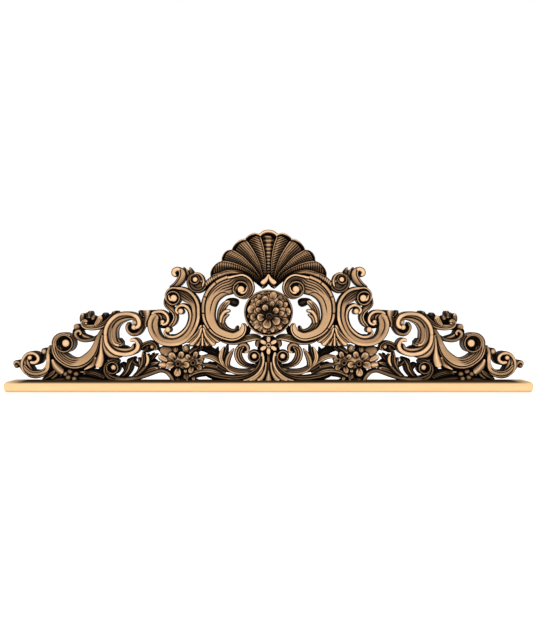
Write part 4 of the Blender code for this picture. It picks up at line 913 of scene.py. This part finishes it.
def crest_leaf():
    """Acanthus crest over the long S-scroll, with the tendril under it."""
    current["piece"] = "carved_outer_scrolls"
    # Crest and its lobes
    stroke("strap", (31, 34), [(346, 184.5, 3.5), (356, 173, 5.5), (367, 161, 6.5), (380, 151.5, 7),
           (396, 147, 7), (411, 146.5, 6.4), (422, 150, 5), (425.5, 157, 4), (420, 162.5, 3.4),
           (413.5, 160, 2.8)], grooves=((-0.1, 0.8, 1.4, 0, 1), (0.45, 0.7, 1.0, 0.1, 0.9)), shade_shift=0.08)
    berry((418, 156), 3.6, 31)
    stroke("leaf", (18, 19), [(358, 172, 7), (376, 166, 9), (394, 162, 10), (412, 160, 10), (426, 158, 5)],
           shade_shift=0.5)
    for base, tip, bend, w, h, dark in (
            ((367, 163), (352, 184), 2, 5.5, 30, -0.1), ((378, 158), (371, 180), -2, 7.5, 25, 0.2),
            ((397, 150), (384, 174), 3, 7.5, 33, 0.02), ((401, 164), (398, 173), -2, 6, 27, 0.04),
            ((410, 168), (406, 184), -2, 6, 28, 0.12), ((414, 168), (415, 181), -1, 4.6, 26, 0.1),
            ((426, 156), (424, 179), -2, 5.5, 30, -0.02)):
        leaf(h, base, tip, bend, w, blunt=True, shade_shift=dark)
    # Tendril under the crest
    stroke("bead", (27, 31), [(371, 152, 4), (379, 139, 4.5), (390, 127, 4.5), (403, 119.5, 4.5),
           (418, 116.5, 4.5), (431.5, 119, 4.5), (440, 126.5, 4.4), (440.5, 135, 4), (433.5, 139, 3.6),
           (428.5, 134, 3.2), (431.5, 129.5, 2.6)], shade_shift=0.2)
    disc((436, 136), 12, 18, 0.4)
    petal((438, 147), 60, 8, 9, 27, creases=0)
    stroke("leaf", (25, 28), [(400, 121, 3), (411, 123.5, 4.5), (421, 127, 4.2), (429, 134, 2)])
    stroke("leaf", (20, 21), [(418, 142, 3), (428, 146, 4.5), (438, 142, 5)], shade_shift=0.4)


def long_scroll():
    """The long S-scroll that sweeps up to the outer volute, with its petals."""
    current["piece"] = "carved_outer_scrolls"
    tail = coil((464, 111), 8.5, 34, 21.5, -12, 1, 1.5, (35, 36))
    # Scroll and its volute
    stroke("scroll", 34, [(377, 143, 5.5, 31), (386.5, 127, 6.5, 31.5), (393, 108, 8.5, 32),
           (400.5, 91, 11, 32.4), (411.5, 77.5, 13, 33), (426, 67.5, 13.5, 33.4), (442, 63.5, 13.5, 33.8),
           (456.5, 66, 13.5, 34.2), (469, 73, 13.5, 34.5), (480, 83, 13, 34.8), (486, 96, 12.5, 35)] + tail,
           grooves=((12, 1.1, 1.0, 0.5, 0.95), (16.5, 1.1, 1.0, 0.47, 0.92), (21, 1.1, 1.0, 0.44, 0.86)),
           side=(0.32, 0.9), gap=0.5, shade=((0, 0.1), (0.12, 0.05), (0.2, -0.04), (0.6, 0.0), (1, 0.1)),
           rim=((0, 0.1), (0.2, 0.2), (0.5, 0.24), (0.65, 0.05), (1, -0.05)))
    volute((464, 110.5), 8.4, 19, 37.5, 40, -1, 0)
    # Petals under the scroll
    stroke("leaf", (31, 29), [(380.5, 130, 3), (377.5, 110, 5), (373, 96, 6.6), (363, 85.5, 7.6),
           (351, 80.5, 5.5), (338, 78.5, 2)], shade_shift=-0.12)
    stroke("leaf", (22, 23), [(372, 92, 4), (367, 80, 7), (356, 76, 6), (344, 77, 4)], shade_shift=0.2)
    stroke("leaf", (32, 35), [(381.5, 124, 1.6), (382.5, 104, 3.4), (383, 88, 5.8), (385.5, 74, 9),
           (389, 62, 9), (392, 55, 5.5)], shade_shift=-0.06)
    leaf(33, (395, 79), (421, 50), -6, 5)
    stroke("leaf", 17, [(393, 84, 4), (396, 70, 7), (404, 58, 8), (416, 50, 6)], shade_shift=0.4)
    stroke("leaf", (20, 21), [(378, 90, 5), (377, 68, 6), (384, 48, 7), (398, 40, 7)], shade_shift=0.3)
    stroke("leaf", 17, [(404, 52, 5), (424, 48, 8), (446, 48, 8), (466, 52, 6)], shade_shift=0.4)


def end_spray():
    """Low leaves, berries and the outer tendril that ends in a small volute and a hooked tip."""
    current["piece"] = "carved_outer_scrolls"
    # Low leaves and berries
    leaf(26, (374, 32), (430, 45), 4, 9, shade_shift=0.36)
    stroke("leaf", (19, 20), [(362, 24, 8), (400, 28, 9), (436, 30, 9), (470, 28, 8), (500, 24, 7),
           (518, 22, 6)], shade_shift=0.3)
    for x, z, r in ((440, 40, 6.5), (444, 29, 6), (454, 46, 6.5), (458, 32, 6.5), (464, 40, 6)):
        berry((x, z), r, 26 + x % 5 * 0.31, shade_shift=0.26)
    stroke("leaf", (16, 16.5), [(432, 36, 7), (452, 39, 10), (474, 38, 7)], shade_shift=0.5)
    stroke("leaf", (29, 27), [(494, 74, 3), (489, 62, 8), (480, 51, 10.5), (469, 42, 7)], shade_shift=-0.04)
    stroke("leaf", 16, [(480, 34, 8), (491, 48, 10), (494, 66, 9), (498, 86, 7)], shade_shift=0.45)
    stroke("leaf", (25, 22), [(487, 48, 3), (496, 40, 6), (507, 33, 5.5), (517, 27, 3)], shade_shift=0.12,
           grooves=vein(0.1, 1.2, 0.1))
    stroke("leaf", (22, 20), [(480, 45, 3), (486, 37, 4.5), (496, 29, 3.5)])
    # Outer tendril and its coil
    stroke("strap", (30, 31), [(498, 106, 3.5), (503.5, 90, 4), (504, 68, 4.6), (508, 52, 6.5),
           (517, 43, 8.5), (531, 39, 9.5), (545, 41.5, 9.5), (554.5, 50, 8), (559, 61, 4.5)], flip=True,
           grooves=((5, 0.8, 1.2, 0.45, 1), (13, 0.8, 1.0, 0.35, 0.95)))
    stroke("strap", (27, 28), [(538, 46, 4), (548, 54, 7), (554, 66, 7), (553, 76, 5.5), (548, 82, 3)],
           shade_shift=-0.3, grooves=vein(0.1, 1.2, 0.1))
    stroke("bead", (30, 35), [(547, 35.5, 1.6), (557, 43, 3), (563, 55, 3.8), (563, 69, 4.2),
           (557, 81, 4.2), (546.5, 87.6, 4.1), (535, 86.6, 4.2), (527.5, 79.6, 4.4), (527.3, 71.4, 4.4),
           (535, 66, 4.4), (545, 67.5, 3.8)])
    berry((546, 77.5), 5.2, 34)
    boss((544, 74), ((13, 18), (11.5, 19), (3, 19)))
    berry((513, 92), 8, 30)
    stroke("strap", (23, 24), [(515, 92, 4), (518, 80, 5), (523.5, 70, 6), (534, 64.5, 5), (544, 63, 3)],
           shade_shift=0.3)
    # Hooked tip
    stroke("bead", (27, 31), [(556, 42, 4), (563.5, 54, 4.6), (567, 61.5, 4.4), (572.5, 67.5, 4),
           (579.5, 67, 4), (583, 61, 3.4)])
    disc((574, 63), 8, 21, 0.3)
    berry((576.5, 59), 5.6, 29, shade_shift=0.2)


def height_map():
    """How far the carving stands out at every millimetre of the face, and where there is any."""
    face = np.zeros((MAP_TALL, MAP_WIDE))
    for store in pieces.values():
        for grid in store["tops"]:
            for i in (0, 0.5):
                for j in (0, 0.5):
                    a = grid[:-1, :-1] * (1 - i) * (1 - j) + grid[1:, :-1] * i * (1 - j)
                    a = a + grid[:-1, 1:] * (1 - i) * j + grid[1:, 1:] * i * j
                    cx = np.clip(np.rint(a[..., 0] - MAP_LEFT).astype(int), 0, MAP_WIDE - 1)
                    cz = np.clip(np.rint(a[..., 1] - MAP_LOW).astype(int), 0, MAP_TALL - 1)
                    np.maximum.at(face, (cz, cx), a[..., 2])
    return face


def blurred(face, sigma):
    """Soft average of the height map over its solid places only."""
    tall, wide = face.shape
    fz = np.fft.fftfreq(tall * 2)[:, None]
    fx = np.fft.rfftfreq(wide * 2)[None, :]
    kernel = np.exp(-2 * (math.pi * sigma) ** 2 * (fz ** 2 + fx ** 2))
    solid = (face > 1).astype(float)
    out = []
    for layer in (face, solid):
        padded = np.zeros((tall * 2, wide * 2))
        padded[:tall, :wide] = layer
        out.append(np.fft.irfft2(np.fft.rfft2(padded) * kernel, s=padded.shape)[:tall, :wide])
    return out[0] / np.maximum(out[1], 0.02)


def look_up(layer, points):
    """Values of a map at points, blended between its cells."""
    fx = np.clip(points[:, 0] - MAP_LEFT, 0, MAP_WIDE - 1.001)
    fz = np.clip(points[:, 1] - MAP_LOW, 0, MAP_TALL - 1.001)
    ix, iz = fx.astype(int), fz.astype(int)
    ax, az = fx - ix, fz - iz
    return (layer[iz, ix] * (1 - ax) * (1 - az) + layer[iz, ix + 1] * ax * (1 - az)
            + layer[iz + 1, ix] * (1 - ax) * az + layer[iz + 1, ix + 1] * ax * az)


def build_piece(name, store, layers):
    """Turn the stored forms into one mesh with its painted shade as a point attribute."""
    points = np.concatenate(store["points"])
    points[:, 1] = np.maximum(points[:, 1], RAIL_HEIGHT)
    faces = np.concatenate(store["faces"])
    mesh = bpy.data.meshes.new(name)
    co = np.stack([points[:, 0], BACK - points[:, 2], points[:, 1]], axis=1) * MM
    tris = faces[:, 2] == faces[:, 3]
    listed = faces[~tris].tolist() + faces[tris][:, :3].tolist()
    mesh.from_pydata(co.tolist(), [], listed)
    bm = bmesh.new()
    bm.from_mesh(mesh)
    bmesh.ops.recalc_face_normals(bm, faces=bm.faces[:])
    bm.to_mesh(mesh)
    bm.free()
    mesh.shade_smooth()
    mesh.set_sharp_from_angle(angle=math.radians(SHARP_ANGLE))
    normals = np.zeros(len(mesh.vertices) * 3)
    mesh.vertices.foreach_get("normal", normals)
    lean = 1 - np.abs(normals.reshape(-1, 3)[:, 1])
    height = points[:, 2]
    wall = np.concatenate(store["wall"])
    # Painted shade: darker in hollows below the blurred relief around a point, on steep faces and on deep
    # ones; walls keep their own
    painted_shade = OPEN_LEVEL
    for layer, (_, weight, low, high) in zip(layers, HOLLOWS):
        painted_shade = painted_shade + weight * np.clip(look_up(layer, points) - height, low, high)
    painted_shade = (painted_shade + LEAN_PAINTED_SHADE * np.clip(lean - LEAN_FROM, 0, 1)
             + DEPTH_PAINTED_SHADE * np.clip(DEPTH_FROM - height, 0, 30) + np.concatenate(store["shade_shift"]))
    painted_shade = np.where(wall > 0, wall, np.clip(painted_shade, 0, 1))
    mesh.attributes.new("painted_shade", "FLOAT", "POINT").data.foreach_set("value", painted_shade.astype(np.float32))
    piece = bpy.data.objects.new(name, mesh)
    bpy.context.scene.collection.objects.link(piece)
    return piece


def carve():
    """Carve all forms, then work out the painted shade from the finished relief."""
    for build in (shell, roundel, great_scrolls, pleat_fan, foot_spray, flowers, arch_stem, third_scroll,
                  crest_leaf, long_scroll, end_spray):
        build()
    face = height_map()
    layers = [blurred(face, sigma) for sigma, *_ in HOLLOWS]
    return [build_piece(name, store, layers) for name, store in pieces.items()]


def deselect():
    if bpy.context.object and bpy.context.object.mode != "OBJECT":
        bpy.ops.object.mode_set(mode="OBJECT")
    bpy.ops.object.select_all(action="DESELECT")


def sweep_rail():
    """Draw the rounded moulding's profile and run it round the ends and the front, as on a spindle."""
    deselect()
    half, back, corner = RAIL_LENGTH / 2 * MM, BACK * MM, RAIL_CORNER * MM
    middle, turn, tall = -half + RAIL_NOSE * MM, corner - back, RAIL_HEIGHT * MM
    bpy.ops.mesh.primitive_circle_add(vertices=RAIL_FACETS, radius=tall / 2, fill_type="NOTHING",
                                      location=(middle, back, tall / 2), rotation=(math.pi / 2, 0, 0))
    rail = bpy.context.object
    rail.name = rail.data.name = "base_rail"
    bpy.ops.object.transform_apply(location=True, rotation=True, scale=True)
    bpy.ops.object.mode_set(mode="EDIT")
    bm = bmesh.from_edit_mesh(rail.data)
    extra = [v for v in bm.verts if v.co.x > middle + 1e-6]
    bmesh.ops.delete(bm, geom=extra, context="VERTS")
    for v in bm.verts:
        v.co.x = middle + (v.co.x - middle) * RAIL_NOSE / (RAIL_HEIGHT / 2)
    bmesh.update_edit_mesh(rail.data)
    bpy.ops.mesh.select_all(action="SELECT")
    for push, pivot in (((0, turn - back, 0), corner - half), ((2 * (half - corner), 0, 0), half - corner)):
        bpy.ops.mesh.extrude_region_move(TRANSFORM_OT_translate={"value": push})
        bpy.ops.mesh.spin(steps=CORNER_FACETS, angle=math.radians(-90), center=(pivot, turn, 0),
                          axis=(0, 0, 1))
    bpy.ops.mesh.extrude_region_move(TRANSFORM_OT_translate={"value": (0, back - turn, 0)})
    bpy.ops.mesh.select_all(action="DESELECT")
    bm = bmesh.from_edit_mesh(rail.data)
    for level in (0.0, tall):
        for v in bm.verts:
            if abs(v.co.z - level) < 1e-6:
                v.select = True
        bmesh.update_edit_mesh(rail.data)
        bpy.ops.mesh.edge_face_add()
        bpy.ops.mesh.select_all(action="DESELECT")
        bm = bmesh.from_edit_mesh(rail.data)
    for e in bm.edges:
        e.select = e.is_boundary
    bmesh.update_edit_mesh(rail.data)
    bpy.ops.mesh.edge_face_add()
    bpy.ops.mesh.select_all(action="SELECT")
    bpy.ops.mesh.remove_doubles(threshold=1e-6)
    bpy.ops.mesh.normals_make_consistent(inside=False)
    bpy.ops.object.mode_set(mode="OBJECT")
    bpy.ops.object.shade_smooth_by_angle(angle=math.radians(30))
    return rail


def node(tree, kind, inputs=(), **settings):
    """Add a node; each input is linked to an output socket or set to a value."""
    made = tree.nodes.new(kind)
    for key, value in settings.items():
        setattr(made, key, value)
    for key, value in dict(inputs).items():
        if hasattr(value, "is_output"):
            tree.links.new(value, made.inputs[key])
        else:
            made.inputs[key].default_value = value
    return made


def wood_grain():
    """Faint long grain and fine pores of limewood, running along the panel."""
    group = bpy.data.node_groups.new("limewood_grain", "ShaderNodeTree")
    for name in ("Grain", "Pores"):
        group.interface.new_socket(name, in_out="OUTPUT", socket_type="NodeSocketFloat")
    result = group.nodes.new("NodeGroupOutput")
    place = node(group, "ShaderNodeTexCoord")
    stretch = node(group, "ShaderNodeMapping", {"Vector": place.outputs["Object"], "Scale": GRAIN_STRETCH})
    for name, looks in (("Grain", {"Scale": 120.0, "Detail": 3.0, "Roughness": 0.55}),
                        ("Pores", {"Scale": 900.0, "Detail": 2.0})):
        noise = node(group, "ShaderNodeTexNoise", {"Vector": stretch.outputs[0], **looks})
        group.links.new(noise.outputs["Fac"], result.inputs[name])
    return group


def srgb(colour):
    """Linear colour with alpha from one in 0 to 255."""
    shares = [c / 255 for c in colour]
    return (*(c / 12.92 if c < 0.04045 else ((c + 0.055) / 1.055) ** 2.4 for c in shares), 1)


def ramp(tree, factor, stops):
    made = node(tree, "ShaderNodeValToRGB", {"Fac": factor})
    bar = made.color_ramp
    while len(bar.elements) < len(stops):
        bar.elements.new(0.5)
    for element, (at, colour) in zip(bar.elements, stops):
        element.position = at
        element.color = srgb(colour)
    return made.outputs["Color"]


def mapped(tree, value, low, high, start=0.0, end=1.0):
    """Map a value between start and end to one between low and high."""
    return node(tree, "ShaderNodeMapRange", {"Value": value, "From Min": start, "From Max": end,
                                             "To Min": low, "To Max": high}).outputs[0]


def math_node(tree, operation, *values):
    return node(tree, "ShaderNodeMath", dict(enumerate(values)), operation=operation).outputs[0]


def over(tree, share, under, colour):
    """A plain colour laid over another one by its share."""
    return node(tree, "ShaderNodeMix", {0: share, 6: under, 7: srgb(colour)}, data_type="RGBA").outputs[2]


def new_wood(name, grain):
    mat = bpy.data.materials.new(name)
    mat.use_nodes = True
    return mat, mat.node_tree, node(mat.node_tree, "ShaderNodeGroup", node_tree=grain)


def dress(tree, wood, colour, rough, sheen, pores):
    """Join colour, roughness, sheen and the pores' (strength, depth) to the shader."""
    strength, depth = pores
    bump = node(tree, "ShaderNodeBump", {"Height": wood.outputs["Pores"], "Strength": strength,
                                         "Distance": depth})
    shader = tree.nodes["Principled BSDF"]
    for socket, value in (("Base Color", colour), ("Roughness", rough), ("Specular IOR Level", sheen),
                          ("Normal", bump.outputs[0])):
        tree.links.new(value, shader.inputs[socket])


def carved_wood(grain):
    """Wood darkened by painted shade in the hollows; the crests keep a painted highlight."""
    mat, tree, wood = new_wood("painted_shade_carving", grain)
    painted_shade = node(tree, "ShaderNodeAttribute", attribute_name="painted_shade").outputs["Fac"]
    shift = math_node(tree, "ADD", wood.outputs["Grain"], -0.5)
    mixed = math_node(tree, "MULTIPLY_ADD", shift, GRAIN_SHOWS, painted_shade)
    colour = ramp(tree, mixed, PAINTED_SHADE_COLOURS)
    rough, sheen = mapped(tree, painted_shade, 0.42, 0.62), mapped(tree, painted_shade, 0.35, 0.04)
    dress(tree, wood, colour, rough, sheen, (0.06, 0.0006))
    return mat


def waxed_wood(grain):
    """Pale waxed wood, with a painted shadow on top where the carving stands and painted shade at its foot.
    """
    mat, tree, wood = new_wood("waxed_rail", grain)
    colour = ramp(tree, wood.outputs["Grain"], WAX_COLOURS)
    place = node(tree, "ShaderNodeTexCoord")
    axes = node(tree, "ShaderNodeSeparateXYZ", {0: place.outputs["Object"]})
    # Painted shade at the foot, and a painted shadow on top under the carving that fades out past its ends
    foot = mapped(tree, axes.outputs["Z"], 0.0, FOOT_SHADE_SHARE, *FOOT_SHADE_HEIGHTS)
    top = mapped(tree, axes.outputs["Z"], 0.0, 1.0, *TOP_SHADOW_HEIGHTS)
    inside = mapped(tree, math_node(tree, "ABSOLUTE", axes.outputs["X"]), 0.0, 1.0, *SHADOW_END_PLACES)
    shadow_on_top = math_node(tree, "MULTIPLY", top, inside)
    colour = over(tree, foot, colour, FOOT_SHADE_COLOUR)
    colour = over(tree, math_node(tree, "MULTIPLY", shadow_on_top, TOP_SHADOW_SHARE), colour, TOP_SHADOW_COLOUR)
    rough = mapped(tree, wood.outputs["Grain"], 0.36, 0.46)
    # The sheen fades out under the painted shadow on top
    dress(tree, wood, colour, rough, mapped(tree, shadow_on_top, 0.3, 0.0), (0.04, 0.0005))
    return mat


def key_light():
    """One wide soft light in front of the panel and above it, turned to its middle."""
    deselect()
    bpy.ops.object.light_add(type="AREA", location=LIGHT_PLACE)
    lamp = bpy.context.object
    lamp.name = "key_light"
    lamp.data.shape = "RECTANGLE"
    lamp.data.size, lamp.data.size_y = LIGHT_SIZE
    lamp.data.energy = LIGHT_POWER
    x, y, z = (a - p for a, p in zip(LIGHT_AIM, LIGHT_PLACE))
    lamp.rotation_euler = (math.atan2(math.hypot(x, y), -z), 0, math.atan2(-x, y))


def studio():
    """Pale floor, white surround, soft light from the front and above, and the photograph's camera."""
    deselect()
    bpy.ops.mesh.primitive_plane_add(size=FLOOR_SIZE, location=(0, 0, 0))
    floor = bpy.context.object
    floor.name = "studio_floor"
    mat = bpy.data.materials.new("studio_floor_paper")
    mat.use_nodes = True
    shader = mat.node_tree.nodes["Principled BSDF"]
    for socket, value in (("Base Color", (*[FLOOR_WHITE] * 3, 1)), ("Roughness", 0.95),
                          ("Emission Color", (1, 1, 1, 1)), ("Emission Strength", FLOOR_GLOW)):
        shader.inputs[socket].default_value = value
    floor.data.materials.append(mat)
    world = bpy.data.worlds.new("studio_white")
    world.use_nodes = True
    tree = world.node_tree
    back = tree.nodes["Background"]
    back.inputs["Color"].default_value = (1, 1, 1, 1)
    back.inputs["Strength"].default_value = SURROUND_LIGHT
    paper = node(tree, "ShaderNodeBackground", {"Color": (1, 1, 1, 1), "Strength": 1.0})
    ray = node(tree, "ShaderNodeLightPath")
    mixed = node(tree, "ShaderNodeMixShader", {0: ray.outputs["Is Camera Ray"], 1: back.outputs[0],
                                               2: paper.outputs[0]})
    tree.links.new(mixed.outputs[0], tree.nodes["World Output"].inputs["Surface"])
    bpy.context.scene.world = world
    key_light()
    view = bpy.context.scene.view_settings
    view.view_transform = "Standard"
    view.look = "None"
    deselect()
    ahead = (SIGHT_DISTANCE + FRONT_PLANE - BACK) * MM
    bpy.ops.object.camera_add(location=(0, -ahead, SIGHT_HEIGHT * MM), rotation=(math.pi / 2, 0, 0))
    camera = bpy.context.object
    camera.name = "photo_camera"
    camera.data.lens, camera.data.sensor_width = CAMERA_LENS, CAMERA_SENSOR
    bpy.context.scene.camera = camera


grain = wood_grain()
carved = carved_wood(grain)
for piece in carve():
    piece.data.materials.append(carved)
    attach(piece, "root")
    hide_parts("carved_cresting")
rail = sweep_rail()
rail.data.materials.append(waxed_wood(grain))
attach(rail, "root")
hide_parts("base_moulding")
studio()
